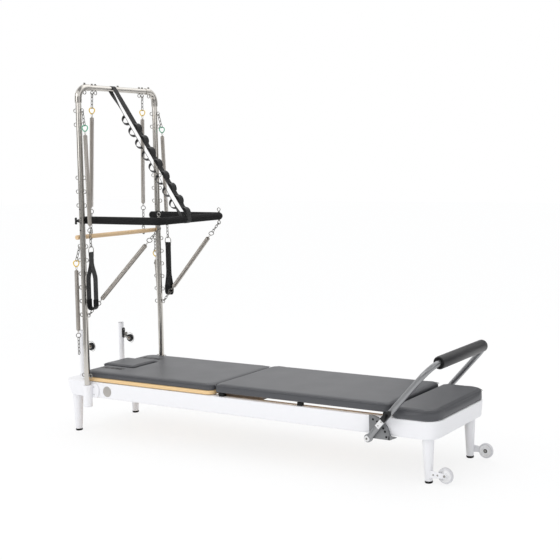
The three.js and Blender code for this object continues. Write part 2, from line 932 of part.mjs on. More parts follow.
function towerTopBar() {
  const far = elbow();
  const reach = postY - elbowReach + overrun;
  const bar = rod(at(postX, -reach, barZ), at(postX, reach, barZ), postRadius);
  const eyes = [-1, 1].flatMap((side) => [barEyeY, barInnerEyeY, barEndEyeY].map((y) => side * y));
  const bolts = [...eyes, 0].flatMap((y) => [
    wireRing(at(postX, y, barZ - barEyeDrop), at(0, 1, 0), eyeRadius, eyeWire),
    rod(at(postX, y, barZ), at(postX, y, barZ - barEyeDrop + eyeRadius), eyeWire, wireSides),
    rod(at(postX, y, barZ), at(postX, y, barZ + elbowRadius + barEyeNutHeight), barEyeNutRadius, ringSteps),
  ]);
  const sockets = [-1, 1].map((side) => rod(
    at(postX, side * postY, elbowEndZ - overrun), at(postX, side * postY, elbowEndZ + elbowBore),
    postRadius + postFit,
  ));
  return cut(join(far, mirrored(far), bar, ...bolts), ...sockets);
}

// Push-through bar
function pushRoute(back) {
  const starts = [-1, 1].map((side) => at(postX - back, side * pushArmY, pushZ));
  const corners = [-1, 1].map((side) => at(pushCrossX, side * pushArmY, pushZ));
  return [
    starts[0],
    ...roundCorner(starts[0], corners[0], corners[1], pushBend),
    ...roundCorner(corners[0], corners[1], starts[1], pushBend),
    starts[1],
  ];
}

// The eyebolt's place on the middle of the bent corner
const cornerEye = (side) => at(
  pushCrossX - pushBend * (1 - Math.SQRT1_2), side * (pushArmY - pushBend * (1 - Math.SQRT1_2)), pushZ,
);

function pivotBore(radius) {
  return [-1, 1].map((side) => rod(
    at(postX, side * pushArmY, pushZ),
    at(postX, side * (pushArmY + foamRadius + overrun), pushZ),
    radius,
    tubeSides,
  ));
}

function pushBarTube() {
  const tube = pipe(pushRoute(tubeBack), pushTubeRadius, tubeSides, at(0, 0, 1));
  const bolts = [-1, 1].flatMap((side) => {
    const middle = cornerEye(side);
    const up = at(0, 0, cornerEyeOut);
    return [
      wireRing(middle.clone().add(up), at(0, 1, 0), eyeRadius, eyeWire),
      wireRing(middle.clone().sub(up), at(0, 1, 0), eyeRadius, eyeWire),
      rod(
        middle.clone().sub(at(0, 0, cornerEyeOut - eyeRadius)),
        middle.clone().add(at(0, 0, cornerEyeOut - eyeRadius)),
        cornerEyeShank, tubeSides,
      ),
    ];
  });
  return cut(join(tube, ...bolts), ...pivotBore(pivotRadius + pivotFit));
}

function pushBarFoam() {
  const sleeve = pipe(pushRoute(foamBack - overrun), foamRadius, tubeSides, at(0, 0, 1));
  const bore = pipe(pushRoute(foamBack + overrun), foamBore, tubeSides, at(0, 0, 1));
  const holes = [-1, 1].map((side) => {
    const middle = cornerEye(side);
    const up = at(0, 0, foamRadius + overrun);
    return rod(middle.clone().sub(up), middle.clone().add(up), cornerEyeShank + runGap, tubeSides);
  });
  return cut(sleeve, bore, ...holes, ...pivotBore(pivotRadius + 2 * pivotFit));
}

function pivotKnob() {
  const face = postY + postRadius + seat;
  const pinStart = at(postX, pushArmY + runGap, pushZ);
  const pin = rod(pinStart, at(postX, face + knobHubLength, pushZ), pivotRadius, tubeSides);
  const hub = rod(at(postX, face, pushZ), at(postX, face + knobHubLength, pushZ), knobHubRadius, tubeSides);
  const stem = rod(at(postX, face, pushZ), at(postX, face + knobStem, pushZ), knobBarRadius, tubeSides);
  const bar = rod(
    at(postX, face + knobStem, pushZ - knobBarHalf), at(postX, face + knobStem, pushZ + knobBarHalf),
    knobBarRadius, tubeSides,
  );
  return join(pin, hub, stem, bar);
}

// Springs with their hooks and coloured rings
const eyeSector = (2 * Math.PI) / ringSteps;
const eyeInside = (eyeRadius - eyeWire / 2) * Math.cos(eyeSector / 2);
const hookTip = hookWire * Math.SQRT1_2 + hookHalfWidth * (1 - Math.cos(Math.PI / (2 * linkSteps)));

// The place where a hook's end lies in an eye, on the side that the hook is pulled to
function hookPoint(eye, towards) {
  const pull = at(0, 0, 0).subVectors(towards, eye).setY(0).normalize();
  const turned = Math.atan2(pull.z, pull.x) + 2 * Math.PI;
  const inside = eyeInside / Math.cos((turned % eyeSector) - eyeSector / 2);
  return eye.clone().addScaledVector(pull, inside - hookClear - hookTip);
}

// A closed coil with its tapered ends and necks, drawn plain as one turned body
function springBody(from, to) {
  const along = at(0, 0, 0).subVectors(to, from);
  const length = along.length();
  along.normalize();
  const side = at(0, 0, 0).crossVectors(along, sideways.clone().add(endways)).normalize();
  const taper = springRadius - springNeck;
  const stations = [
    [0, springNeck],
    [neckLength, springNeck],
    [neckLength + taper, springRadius],
    [length - neckLength - taper, springRadius],
    [length - neckLength, springNeck],
    [length, springNeck],
  ];
  return skin(stations.map(([distance, radius]) => Array.from({ length: springSides }, (_, k) => {
    const arm = side.clone().applyAxisAngle(along, (2 * Math.PI * k) / springSides);
    return from.clone().addScaledVector(along, distance).addScaledVector(arm, radius);
  })), false);
}

// A hook from the eye to a coloured ring, the coil, and a hook at its lower end
function springChain(eye, tagCentre, lowerEnd, length, hookSide, lowerSide) {
  const along = at(0, 0, 0).subVectors(lowerEnd, tagCentre).normalize();
  const onLine = (distance) => tagCentre.clone().addScaledVector(along, distance);
  const top = hookPoint(eye, tagCentre);
  const tagTop = at(0, 0, 0).subVectors(top, tagCentre).normalize().multiplyScalar(tagRadius).add(tagCentre);
  const bodyStart = tagRadius - tagWire;
  const bodyEnd = bodyStart + length + 2 * neckLength;
  return join(
    link(top, tagTop, hookHalfWidth, hookWire, hookSide),
    wireRing(tagCentre, at(0, 0, 0).crossVectors(along, hookSide).normalize(), tagRadius, tagWire),
    springBody(onLine(bodyStart), onLine(bodyEnd)),
    link(onLine(bodyEnd - tagWire), lowerEnd, hookHalfWidth, hookWire, lowerSide),
  );
}

function rollDownSpring() {
  const eye = at(postX, barEyeY, barZ - barEyeDrop);
  const dowelEye = at(dowelX, dowelEyeY, dowelZ + dowelEyeOut);
  const low = hookPoint(dowelEye, eye);
  const tag = at(postX, barEyeY, eye.z).lerp(low, tagShare);
  return springChain(eye, tag, low, springLength, sideways, sideways);
}

function rollDownBar() {
  const shaft = dowelHalf - dowelEnd;
  const bar = rod(at(dowelX, -shaft, dowelZ), at(dowelX, shaft, dowelZ), dowelRadius);
  const tip = dowelRadius - dowelEnd;
  const ends = [-1, 1].map((side) => rod(
    at(dowelX, side * shaft, dowelZ), at(dowelX, side * dowelHalf, dowelZ), dowelRadius, roundSides, tip,
  ));
  const eyes = [-1, 1].flatMap((side) => [
    wireRing(at(dowelX, side * dowelEyeY, dowelZ + dowelEyeOut), at(0, 1, 0), eyeRadius, eyeWire),
    rod(
      at(dowelX, side * dowelEyeY, dowelZ),
      at(dowelX, side * dowelEyeY, dowelZ - dowelRadius - barEyeNutHeight),
      barEyeNutRadius, ringSteps,
    ),
  ]);
  return join(bar, ...ends, ...eyes);
}

const handleEye = (x, side) => at(x, side * handleY, handleZ);

function armSpring(ringX, handleX, side) {
  const eye = at(postX + eyeOut, side * postY, topEyesZ + eyePitch);
  const ring = handleEye(handleX, side);
  const tag = at(ringX, side * armRingY, armRingZ);
  const away = at(0, 0, 0).subVectors(tag, ring).normalize();
  const inner = (handleRing - handleRingWire * Math.SQRT1_2) * Math.cos(Math.PI / (2 * ringArcs));
  const grip = inner - hookClear - hookTip;
  const low = ring.clone().addScaledVector(away, grip);
  return springChain(eye, tag, low, springLength, sideways, side < 0 ? endways : sideways);
}

// A D-shaped ring, a doubled strap and a hand loop, hanging straight down; the strap's width runs
// across the loop
function armHandle() {
  const half = handleWidth / 2;
  const bottom = -handleLength;
  const loopTop = bottom + handleLoop;
  const arc = Array.from({ length: ringArcs + 1 }, (_, step) => {
    const angle = (Math.PI * step) / ringArcs;
    return at(0, handleRing * Math.cos(angle), handleRing * Math.sin(angle));
  });
  const barEnds = [-1, 1].map((side) => at(0, side * handleRing, -handleRingDrop));
  const ring = pipe([...arc, ...barEnds], handleRingWire, wireSides, endways, true);
  const strapTop = -handleRingDrop + handleRingWire;
  const strap = block(-strapThick / 2, strapThick / 2, -half, half, loopTop, strapTop);
  const outer = (inset) => {
    const shape = [];
    const width = handleHalf - inset;
    const low = bottom + inset;
    const centre = low + width;
    for (let step = 0; step <= ringSteps; step += 1) {
      const angle = Math.PI + (Math.PI * step) / ringSteps;
      shape.push([width * Math.cos(angle), centre + width * Math.sin(angle)]);
    }
    shape.push([Math.max(strapThick / 2 - inset / 2, bite), loopTop + handleThick - inset]);
    shape.push([-Math.max(strapThick / 2 - inset / 2, bite), loopTop + handleThick - inset]);
    return shape;
  };
  const shape = outline(outer(0));
  shape.holes.push(outline(outer(handleThick)));
  return join(ring, strap, acrossBed(shape, -half, half));
}

function legSpring() {
  const eye = at(postX - eyeOut, postY, lowerEyesZ + (lowerEyes - 1) * eyePitch);
  const low = at(legRingX, legRingY, legHookZ);
  return springChain(eye, at(legRingX, legRingY, legRingZ), low, hangingSpringLength, sideways, sideways);
}

// An open coil as one unbroken tube, which prints its least gap to itself
function coil(from, to) {
  const along = at(0, 0, 0).subVectors(to, from);
  const length = along.length() - 2 * coilEndRun;
  along.normalize();
  const across = at(0, 0, 0).crossVectors(along, sideways).normalize();
  const up = at(0, 0, 0).crossVectors(across, along).normalize();
  const steps = coilCurls * coilCurlSteps;
  const pointAt = (step) => {
    const angle = (2 * Math.PI * step) / coilCurlSteps;
    const share = step / steps;
    return from.clone()
      .addScaledVector(along, coilEndRun + length * share)
      .addScaledVector(across, coilRadius * Math.cos(angle))
      .addScaledVector(up, coilRadius * Math.sin(angle));
  };
  const points = Array.from({ length: steps + 1 }, (_, step) => pointAt(step));
  const gap = Math.min(...points.slice(coilCurlSteps).map((point, index) => point.distanceTo(points[index])));
  console.log(`coil: least gap to itself ${(gap - 2 * coilWire).toFixed(2)} mm`);
  const straight = at(0, 0, 0).addScaledVector(along, 2 * coilWire);
  points.unshift(points[0].clone().sub(straight));
  points.push(points[points.length - 1].clone().add(straight));
  const rings = points.map((point, index) => {
    const before = points[Math.max(index - 1, 0)];
    const after = points[Math.min(index + 1, points.length - 1)];
    const way = at(0, 0, 0).subVectors(after, before).normalize();
    const centre = from.clone().addScaledVector(along, at(0, 0, 0).subVectors(point, from).dot(along));
    const out = at(0, 0, 0).subVectors(point, centre);
    out.addScaledVector(way, -out.dot(way)).normalize();
    const side = at(0, 0, 0).crossVectors(way, out);
    return Array.from({ length: coilSides }, (_, k) => {
      const angle = (2 * Math.PI * k) / coilSides;
      return point.clone()
        .addScaledVector(out, coilWire * Math.cos(angle))
        .addScaledVector(side, coilWire * Math.sin(angle));
    });
  });
  return skin(rings, false);
}

// A stretched spring between the post's lowest foot-side eye of its row and the bar's corner eye
function pushSpring() {
  const eye = at(postX + eyeOut, postY, lowerEyesZ);
  const barEye = cornerEye(1).sub(at(0, 0, cornerEyeOut));
  const low = hookPoint(eye, barEye);
  const high = hookPoint(barEye, eye);
  const along = at(0, 0, 0).subVectors(high, low).normalize();
  const coilStart = low.clone().addScaledVector(along, pushHookLength + neckLength);
  const coilEnd = high.clone().addScaledVector(along, -pushTopHookLength - neckLength);
  const plug = (point, sense) => {
    const step = (distance) => point.clone().addScaledVector(along, sense * distance);
    return join(
      rod(step(-neckLength - tagWire), step(bite), springNeck, springSides),
      rod(point, step(coilEndRun), coilRadius + coilWire, springSides),
    );
  };
  return join(
    link(low, low.clone().addScaledVector(along, pushHookLength), hookHalfWidth, hookWire, sideways),
    plug(coilStart, 1),
    coil(coilStart, coilEnd),
    plug(coilEnd, -1),
    link(high.clone().addScaledVector(along, -pushTopHookLength), high, hookHalfWidth, hookWire, sideways),
  );
}

// Looped strap: a belt round both bars with small loops of webbing along both runs
function loopStrap() {
  const start = new THREE.Vector2(postX, barZ);
  const end = new THREE.Vector2(pushCrossX, pushZ);
  const along = end.clone().sub(start);
  const span = along.length();
  along.normalize();
  const across = new THREE.Vector2(-along.y, along.x);
  const startRadius = postRadius + strapClear;
  const endRadius = foamRadius + strapClear;
  const tangent = Math.acos((startRadius - endRadius) / span);
  const outward = (side) => along.clone().multiplyScalar(Math.cos(tangent))
    .addScaledVector(across, side * Math.sin(tangent));
  const turn = (centre, radius, from, sweep) => Array.from({ length: strapTurnSteps + 1 }, (_, step) => {
    const arm = from.clone().rotateAround(new THREE.Vector2(), (sweep * step) / strapTurnSteps);
    return centre.clone().addScaledVector(arm, radius);
  });
  const belt = (thick) => [
    ...turn(start, startRadius + thick, outward(-1), 2 * tangent - 2 * Math.PI),
    ...turn(end, endRadius + thick, outward(1), -2 * tangent),
  ];
  const webbing = new THREE.Shape(belt(strapBand));
  webbing.holes.push(new THREE.Path(belt(0).reverse()));
  const nearFace = -strapY - strapWidth / 2;
  const farFace = -strapY + strapWidth / 2;
  const loops = [[-1, strapLoopLow], [1, strapLoopHigh]].flatMap(([side, first]) => {
    const out = outward(side);
    const run = new THREE.Vector2(out.y, -out.x).multiplyScalar(side);
    const base = start.clone().addScaledVector(out, startRadius + strapBand / 2);
    return Array.from({ length: strapLoops }, (_, index) => {
      const place = first + index * strapLoopPitch;
      const arc = (inset) => Array.from({ length: strapLoopSteps + 1 }, (__, step) => {
        const angle = (Math.PI * step) / strapLoopSteps;
        return base.clone()
          .addScaledVector(run, place - (strapLoopLength / 2 - inset) * Math.cos(angle))
          .addScaledVector(out, (strapLoopHeight - inset) * Math.sin(angle));
      });
      return acrossBed(new THREE.Shape([...arc(0), ...arc(strapBand).reverse()]), nearFace, farFace);
    });
  });
  return join(acrossBed(webbing, nearFace, farFace), ...loops);
}

// Rope risers and pulleys
function riser() {
  const tube = rod(at(riserX, riserY, railTop + seat), at(riserX, riserY, riserTop - riserCap), riserRadius);
  const rim = at(riserX, riserY, riserTop - riserCap);
  const cap = rod(rim, at(riserX, riserY, riserTop), riserRadius, roundSides, riserRadius - riserCap);
  const face = riserX + riserRadius - bite;
  const out = riserX + riserRadius + mountDepth;
  const straight = mountHalfHeight - mountRadius;
  const plate = join(
    rod(at(face, riserY, mountZ - straight), at(out, riserY, mountZ - straight), mountRadius, tubeSides),
    rod(at(face, riserY, mountZ + straight), at(out, riserY, mountZ + straight), mountRadius, tubeSides),
    block(face, out, riserY - mountRadius, riserY + mountRadius, mountZ - straight, mountZ + straight),
  );
  const eye = rod(at(out - bite, riserY, mountZ), at(out + swivelEye, riserY, mountZ), swivelEye, tubeSides);
  return join(tube, cap, plate, eye);
}

const pulleyX = riserX + riserRadius + mountDepth + swivelReach;
const pulleyZ = mountZ - swivelDrop;

function pulleyBlock() {
  const start = at(riserX + riserRadius + mountDepth + swivelEye + seat, riserY, mountZ);
  const neckEnd = at(pulleyX - pulleyRadius - swivelEye, riserY, pulleyZ + swivelDrop / 3);
  const gap = pulleyWidth / 2 + cheekGap;
  const cheeks = [-1, 1].map((side) => {
    const ends = [riserY + side * gap, riserY + side * (gap + cheekThick)];
    const arm = outline([
      [neckEnd.x - swivelEye, neckEnd.z - swivelEye],
      [pulleyX, pulleyZ - cheekRadius],
      [pulleyX + cheekRadius, pulleyZ],
      [pulleyX, pulleyZ + cheekRadius],
      [neckEnd.x - swivelEye, neckEnd.z + swivelEye],
    ]);
    return acrossBed(arm, Math.min(...ends), Math.max(...ends));
  });
  const yoke = block(
    neckEnd.x - swivelEye, neckEnd.x, riserY - gap - cheekThick, riserY + gap + cheekThick,
    neckEnd.z - swivelEye, mountZ + swivelEye,
  );
  const neck = rod(start, at(neckEnd.x - swivelEye + bite, riserY, mountZ), swivelEye - bite, tubeSides);
  const pinEnds = [-1, 1].map((sense) => at(pulleyX, riserY + sense * (gap + bite), pulleyZ));
  const pin = rod(...pinEnds, pulleyPin, tubeSides);
  return join(neck, yoke, ...cheeks, pin);
}

function pulleyWheel() {
  const half = pulleyWidth / 2;
  const profile = [
    [pulleyBore, -half],
    [pulleyRadius, -half],
    [pulleyRadius - pulleyGroove, 0],
    [pulleyRadius, half],
    [pulleyBore, half],
    [pulleyBore, -half],
  ];
  return new THREE.LatheGeometry(profile.map(([a, b]) => new THREE.Vector2(a, b)), roundSides);
}

// Footbar
const armWay = at(Math.cos(radians(footArmAngle)), 0, Math.sin(radians(footArmAngle)));
const footPivot = at(footPivotX, 0, footPivotZ);
const alongArm = (reach, y) => footPivot.clone().addScaledVector(armWay, reach).setY(y);
const quadrantFace = footArmY - footTubeRadius - runGap;

function footbarBracket() {
  const shape = new THREE.Shape();
  const sweepSteps = springSides;
  const rim = (radius) => Array.from({ length: sweepSteps + 1 }, (_, step) => {
    const angle = (Math.PI / 2) * (1 - step / sweepSteps);
    return [footPivotX + radius * Math.cos(angle), footPivotZ + radius * Math.sin(angle)];
  });
  const points = [
    [footPivotX - quadrantBack, footPivotZ - quadrantBack],
    [footPivotX - quadrantBack, footPivotZ + quadrantRadius],
    ...rim(quadrantRadius),
    [footPivotX + quadrantRadius, footPivotZ - quadrantBack],
  ];
  shape.setFromPoints(points.map(([a, b]) => new THREE.Vector2(a, b)));
  const plate = acrossBed(shape, quadrantFace - quadrantThick, quadrantFace);
  const flange = outline([
    ...rim(quadrantRadius).slice(0, -1),
    [footPivotX + quadrantRadius + quadrantTail, footPivotZ + quadrantRim],
    [footPivotX + quadrantRadius + quadrantTail, footPivotZ],
    ...rim(quadrantRadius - quadrantRim).reverse(),
  ]);
  const wall = acrossBed(flange, bedHalfWidth + seat, quadrantFace - quadrantThick + bite);
  const holes = pinHoleAngles.map((angle) => {
    const x = footPivotX + pinHoleOrbit * Math.cos(radians(angle));
    const z = footPivotZ + pinHoleOrbit * Math.sin(radians(angle));
    const start = at(x, quadrantFace - quadrantDepth, z);
    return rod(start, at(x, quadrantFace + overrun, z), pinHoleRadius, springSides);
  });
  const post = rod(
    at(footPivotX, bedHalfWidth + seat, footPivotZ + bossRadius / 2),
    at(footPivotX, quadrantFace - bite, footPivotZ + bossRadius / 2), bossRadius / 2, tubeSides,
  );
  const stud = rod(
    at(footPivotX, quadrantFace - quadrantThick, footPivotZ),
    at(footPivotX, footArmY + bossLength / 2, footPivotZ),
    pivotRadius, tubeSides,
  );
  return join(cut(join(plate, wall), ...holes), post, stud);
}

function footbarTube() {
  const route = [-1, 1].map((side) => {
    const start = alongArm(footTubeStart, side * footArmY);
    const corner = alongArm(footBarReach, side * footArmY);
    return { start, corner };
  });
  const [near, far] = route;
  const tube = pipe([
    near.start,
    ...roundCorner(near.start, near.corner, far.corner, footBend),
    ...roundCorner(near.corner, far.corner, far.start, footBend),
    far.start,
  ], footTubeRadius, tubeSides, at(0, 0, 0).crossVectors(armWay, sideways));
  const bosses = [-1, 1].map((side) => rod(
    at(footPivotX, side * (footArmY - bossLength / 2 + runGap), footPivotZ),
    at(footPivotX, side * (footArmY + bossLength / 2), footPivotZ), bossRadius, roundSides,
  ));
  const heels = [-1, 1].map((side) => rod(
    alongArm(0, side * footArmY),
    alongArm(footTubeStart + overrun, side * footArmY),
    footTubeRadius - bite,
    tubeSides,
  ));
  const bores = [-1, 1].map((side) => rod(
    at(footPivotX, side * (footArmY - bossLength), footPivotZ),
    at(footPivotX, side * (footArmY + bossLength), footPivotZ), pivotRadius + pivotFit, tubeSides,
  ));
  const pinHoles = [-1, 1].map((side) => {
    const middle = alongArm(latchReach, side * footArmY);
    const reach = at(0, footTubeRadius + overrun, 0);
    return rod(middle.clone().sub(reach), middle.clone().add(reach), latchPin + pivotFit, tubeSides);
  });
  return cut(join(tube, ...bosses, ...heels), ...bores, ...pinHoles);
}

function footbarGrip() {
  const profile = [
    [gripBore, -gripHalf],
    [gripRadius - gripEdge, -gripHalf],
    [gripRadius, -gripHalf + gripEdge],
    [gripRadius, gripHalf - gripEdge],
    [gripRadius - gripEdge, gripHalf],
    [gripBore, gripHalf],
    [gripBore, -gripHalf],
  ];
  const sleeve = new THREE.LatheGeometry(profile.map(([a, b]) => new THREE.Vector2(a, b)), roundSides);
  const flare = [-1, 1].map((side) => rod(
    at(0, side * (gripHalf - gripRadius), 0),
    at(0, side * (gripHalf + overrun), 0),
    gripBore,
    roundSides,
    gripBore + gripEdge,
  ));
  return cut(sleeve, ...flare);
}

// The latch's pin runs through the arm and stops just short of the quadrant
function footbarLatch() {
  const middle = alongArm(latchReach, footArmY);
  const face = footArmY + footTubeRadius + seat;
  const half = latchLength / 2;
  const along = armWay.clone();
  const square = at(-armWay.z, 0, armWay.x);
  const corner = (a, b) => {
    const point = middle.clone().addScaledVector(along, a).addScaledVector(square, b);
    return [point.x, point.z];
  };
  const shape = outline([
    corner(-half, -latchWidth / 2),
    corner(half - gripEdge, -latchWidth / 2),
    corner(half, -latchWidth / 2 + gripEdge),
    corner(half, latchWidth / 2 - gripEdge),
    corner(half - gripEdge, latchWidth / 2),
    corner(-half, latchWidth / 2),
  ]);
  const body = acrossBed(shape, face, face + latchThick);
  const pin = rod(
    middle.clone().setY(quadrantFace + runGap), middle.clone().setY(face + bite), latchPin, tubeSides,
  );
  return join(body, pin);
}

// The whole unit
const unit = new THREE.Group();

function addBed() {
  const bed = new THREE.Group();
  pair(bed, 'side_rail', sideRail(), white);
  piece(bed, 'head_end_beam', endBeam(headBeamLength, 0, headCorner, headDraft), white());
  piece(bed, 'foot_end_beam', endBeam(bedLength - footBeamLength, bedLength, footCorner, footDraft), white());
  pair(bed, 'carriage_track', carriageTrack(), steel);
  pair(bed, 'leg_head', leg(headLegX), white);
  pair(bed, 'leg_foot', wheelLeg(), white);
  pair(bed, 'rubber_foot_head', rubberFoot(), rubber, at(headLegX, legY, 0));
  pair(bed, 'rubber_foot_foot', rubberFoot(), rubber, at(footLegX, legY, 0));
  pair(bed, 'transport_wheel', wheel(), rubber, at(wheelX, legY, wheelCentreZ));
  piece(bed, 'foot_platform_board', platformBoard(), wood());
  piece(bed, 'foot_platform_pad', platformPad(), vinyl());
  piece(bed, 'spring_bar', springBar(), steel());
  pair(bed, 'riser', riser(), white);
  pair(bed, 'pulley_block', pulleyBlock(), steel);
  pair(bed, 'pulley_wheel', pulleyWheel(), black, at(pulleyX, riserY, pulleyZ));
  unit.add(bed);
}

function addCarriage() {
  const carriage = new THREE.Group();
  piece(carriage, 'carriage_board', carriageBoard(), wood());
  piece(carriage, 'carriage_pad', carriagePad(), vinyl());
  piece(carriage, 'headrest_board', headrestBoard(), wood());
  piece(carriage, 'headrest_pad', headrestPad(), vinyl());
  ['head', 'foot'].forEach((end, index) => {
    piece(carriage, `roller_axle_${end}`, rollerAxle(), black(), at(axlePlaces[index], 0, rollerZ));
  });
  unit.add(carriage);
}

function addMatInsert() {
  const insert = new THREE.Group();
  piece(insert, 'mat_insert_board', insertBoard(), wood());
  piece(insert, 'mat_insert_pad', insertPad(), vinyl());
  unit.add(insert);
}

function addTower() {
  const tower = new THREE.Group();
  pair(tower, 'tower_socket', towerSocket(), white);
  pair(tower, 'tower_post', towerPost(), steel);
  piece(tower, 'tower_top_bar', towerTopBar(), steel());
  piece(tower, 'push_bar_tube', pushBarTube(), steel());
  piece(tower, 'push_bar_foam', pushBarFoam(), black());
  pair(tower, 'pivot_knob', pivotKnob(), black);
  piece(tower, 'loop_strap', loopStrap(), black());
  unit.add(tower);
}

function addSprings() {
  const springs = new THREE.Group();
  piece(springs, 'roll_down_bar', rollDownBar(), wood());
  pair(springs, 'roll_down_spring', rollDownSpring(), springSteel);
  piece(springs, 'arm_spring_near', armSpring(nearArmRingX, nearHandleX, -1), springSteel());
  piece(springs, 'arm_spring_far', armSpring(farArmRingX, farHandleX, 1), springSteel());
  piece(springs, 'arm_handle_near', armHandle(), black(), handleEye(nearHandleX, -1));
  const farHandle = piece(springs, 'arm_handle_far', armHandle(), black(), handleEye(farHandleX, 1));
  farHandle.rotation.z = Math.PI / 2;
  pair(springs, 'leg_spring', legSpring(), springSteel);
  pair(springs, 'push_spring', pushSpring(), springSteel);
  unit.add(springs);
}

function addFootbar() {
  const footbar = new THREE.Group();
  pair(footbar, 'footbar_bracket', footbarBracket(), alloy);
  piece(footbar, 'footbar_tube', footbarTube(), alloy());
  piece(footbar, 'footbar_grip', footbarGrip(), vinyl(), alongArm(footBarReach, 0));
  pair(footbar, 'footbar_latch', footbarLatch(), black);
  unit.add(footbar);
}

addBed();
addCarriage();
addMatInsert();
addTower();
addSprings();
addFootbar();

// The finished unit stands with its middle over the origin
unit.updateMatrixWorld(true);
const bounds = new THREE.Box3().setFromObject(unit);
unit.position.x = -(bounds.min.x + bounds.max.x) / 2;
unit.updateMatrixWorld(true);

export default unit;
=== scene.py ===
"""Pilates tower unit: a reformer bed made up as a mat, with a spring tower at its head end."""

import math

import bmesh
import bpy
from bpy.props import FloatProperty, FloatVectorProperty, IntProperty, PointerProperty
from mathutils import Matrix, Vector


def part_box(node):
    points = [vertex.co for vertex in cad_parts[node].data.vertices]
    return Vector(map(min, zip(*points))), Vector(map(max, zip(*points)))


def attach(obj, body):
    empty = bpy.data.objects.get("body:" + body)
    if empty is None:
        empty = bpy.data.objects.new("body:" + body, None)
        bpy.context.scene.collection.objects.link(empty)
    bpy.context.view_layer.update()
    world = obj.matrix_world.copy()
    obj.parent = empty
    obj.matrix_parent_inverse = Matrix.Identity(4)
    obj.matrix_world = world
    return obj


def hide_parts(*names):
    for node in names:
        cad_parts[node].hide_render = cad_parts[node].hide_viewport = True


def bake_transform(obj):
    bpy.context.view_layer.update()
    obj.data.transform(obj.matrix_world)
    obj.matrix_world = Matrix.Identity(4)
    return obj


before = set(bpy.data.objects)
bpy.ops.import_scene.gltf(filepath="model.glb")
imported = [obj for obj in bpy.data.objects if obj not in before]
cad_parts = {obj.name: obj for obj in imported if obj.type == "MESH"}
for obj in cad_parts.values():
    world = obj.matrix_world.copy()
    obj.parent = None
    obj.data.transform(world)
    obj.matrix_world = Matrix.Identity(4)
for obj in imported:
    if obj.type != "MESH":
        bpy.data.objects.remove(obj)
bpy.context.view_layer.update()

bl_info = {
    "name": "Pilates tower unit",
    "version": (1, 0, 0),
    "blender": (4, 5, 0),
    "location": "View3D > Sidebar > Tower unit",
    "description": "Builds the bed, the tower, the springs and the studio of a pilates tower unit",
    "category": "Object",
}

# Places in millimetres from the head end's outer face, as in the part's source
MIDDLE = -1000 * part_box("head_end_beam")[0][0]
SIDES = ((-1, "near"), (1, "far"))
BED_END = 2630
FOOT_FACE = 2583
RAIL_START = 109.2
RAIL_END = BED_END - 126.2
RAIL_Y = 321
RAIL_TOP = 333
RAIL_BOTTOM = 238
LEG_X = {"head": 55, "foot": BED_END - 128}
LEG_Y = 259
WHEEL_X = BED_END - 31
WHEEL_Z = 50
POST_X = 220
POST_Y = 343
BAR_Z = 2130
HANG_Z = BAR_Z - 30
EYE_OUT = 29
EYE_RADIUS = 11
EYE_WIRE = 2.5
EYE_ROWS = (376, 748, 832, 916, 1000, 1084, 1168, 1416, 1500, 1584, 1904, 1988)
PUSH_X = 785
PUSH_Y = 298
PUSH_Z = 1325
PUSH_BEND = 44
STRAP_Y = -50
DOWEL_X = 188
DOWEL_EYE_Y = 238
DOWEL_EYE_Z = 1247
ARM_SPRING = 556
HANDLE_Y = 377
HANDLE_Z = 1150
# Each hand loop's place, turn, half opening and the drops of its seams
HANDLES = {"near": (318, math.radians(9), 26, (34, 60)), "far": (274, math.pi / 2, 18.4, (34, 196))}
RISER_X = 23
RISER_Y = 177
SWIVEL_Z = 549
SHEAVE = (99, 519)
FOOT_PIVOT = (2201, 222)
ARM_ANGLE = math.radians(47.6)
ARM_Y = 357
GRIP_REACH = 556
PLATE_REACH = 118
LATCH_REACH = 178
SOCKET_Y = 178
# Plans of the pads: start, end, half width, and the corners' radii at both ends
INSERT_START = 1156
INSERT_PLAN = (INSERT_START, 2303, 311, (36, 36))
PLATFORM_PLAN = (2312, FOOT_FACE - 5, 325, (42, 80))
CARRIAGE_PLAN = (155, 1150, 311, (48, 48))
HEADREST_PLAN = (129, 377, 112, (14, 14))
PIPING = 1.3

# In metres: a hook's hang in an eye, and the push bar's eyes from the middle of its corners
HOOK_HANG = 0.0052
CORNER_EYE = 0.041
ALONG, ACROSS, UP = Vector((1, 0, 0)), Vector((0, 1, 0)), Vector((0, 0, 1))
# Free rings hang turned this way, square to the camera
FACING = Vector((0.75, 0.66, 0))
# Edges that turn by more than this, in radians, are rims
CREASE = 0.9
CLOTH_FRAMES = 12

# The studio, in metres and degrees
CAMERA = {"place": (4.90445, -5.09902, 1.68232), "azimuth": 29.423, "pitch": 3.527, "roll": -0.917}
LENS = {"focal": 1066.148, "cx": 372.785, "cy": 222.539, "width": 560}
PHOTO_TO_FRAME = 0.020 - MIDDLE / 1000
# Each lamp's place, target, size and power
LAMPS = (
    ("key", (-1.8, -4.6, 3.4), (0, 0, 0.5), 3.0, 40),
    ("fill", (4.6, -1.6, 2.6), (0.4, 0, 0.5), 2.4, 14),
    ("top", (0.2, 1.4, 4.6), (0, 0, 0.4), 3.6, 26),
)
# Standing cards round the object: azimuth, half width and tone
CARDS = ((-41, 2.5, 0.22), (6, 2.8, 0.28), (43.5, 2.8, 0.46), (78, 2.5, 0.32), (122, 2.6, 0.22))
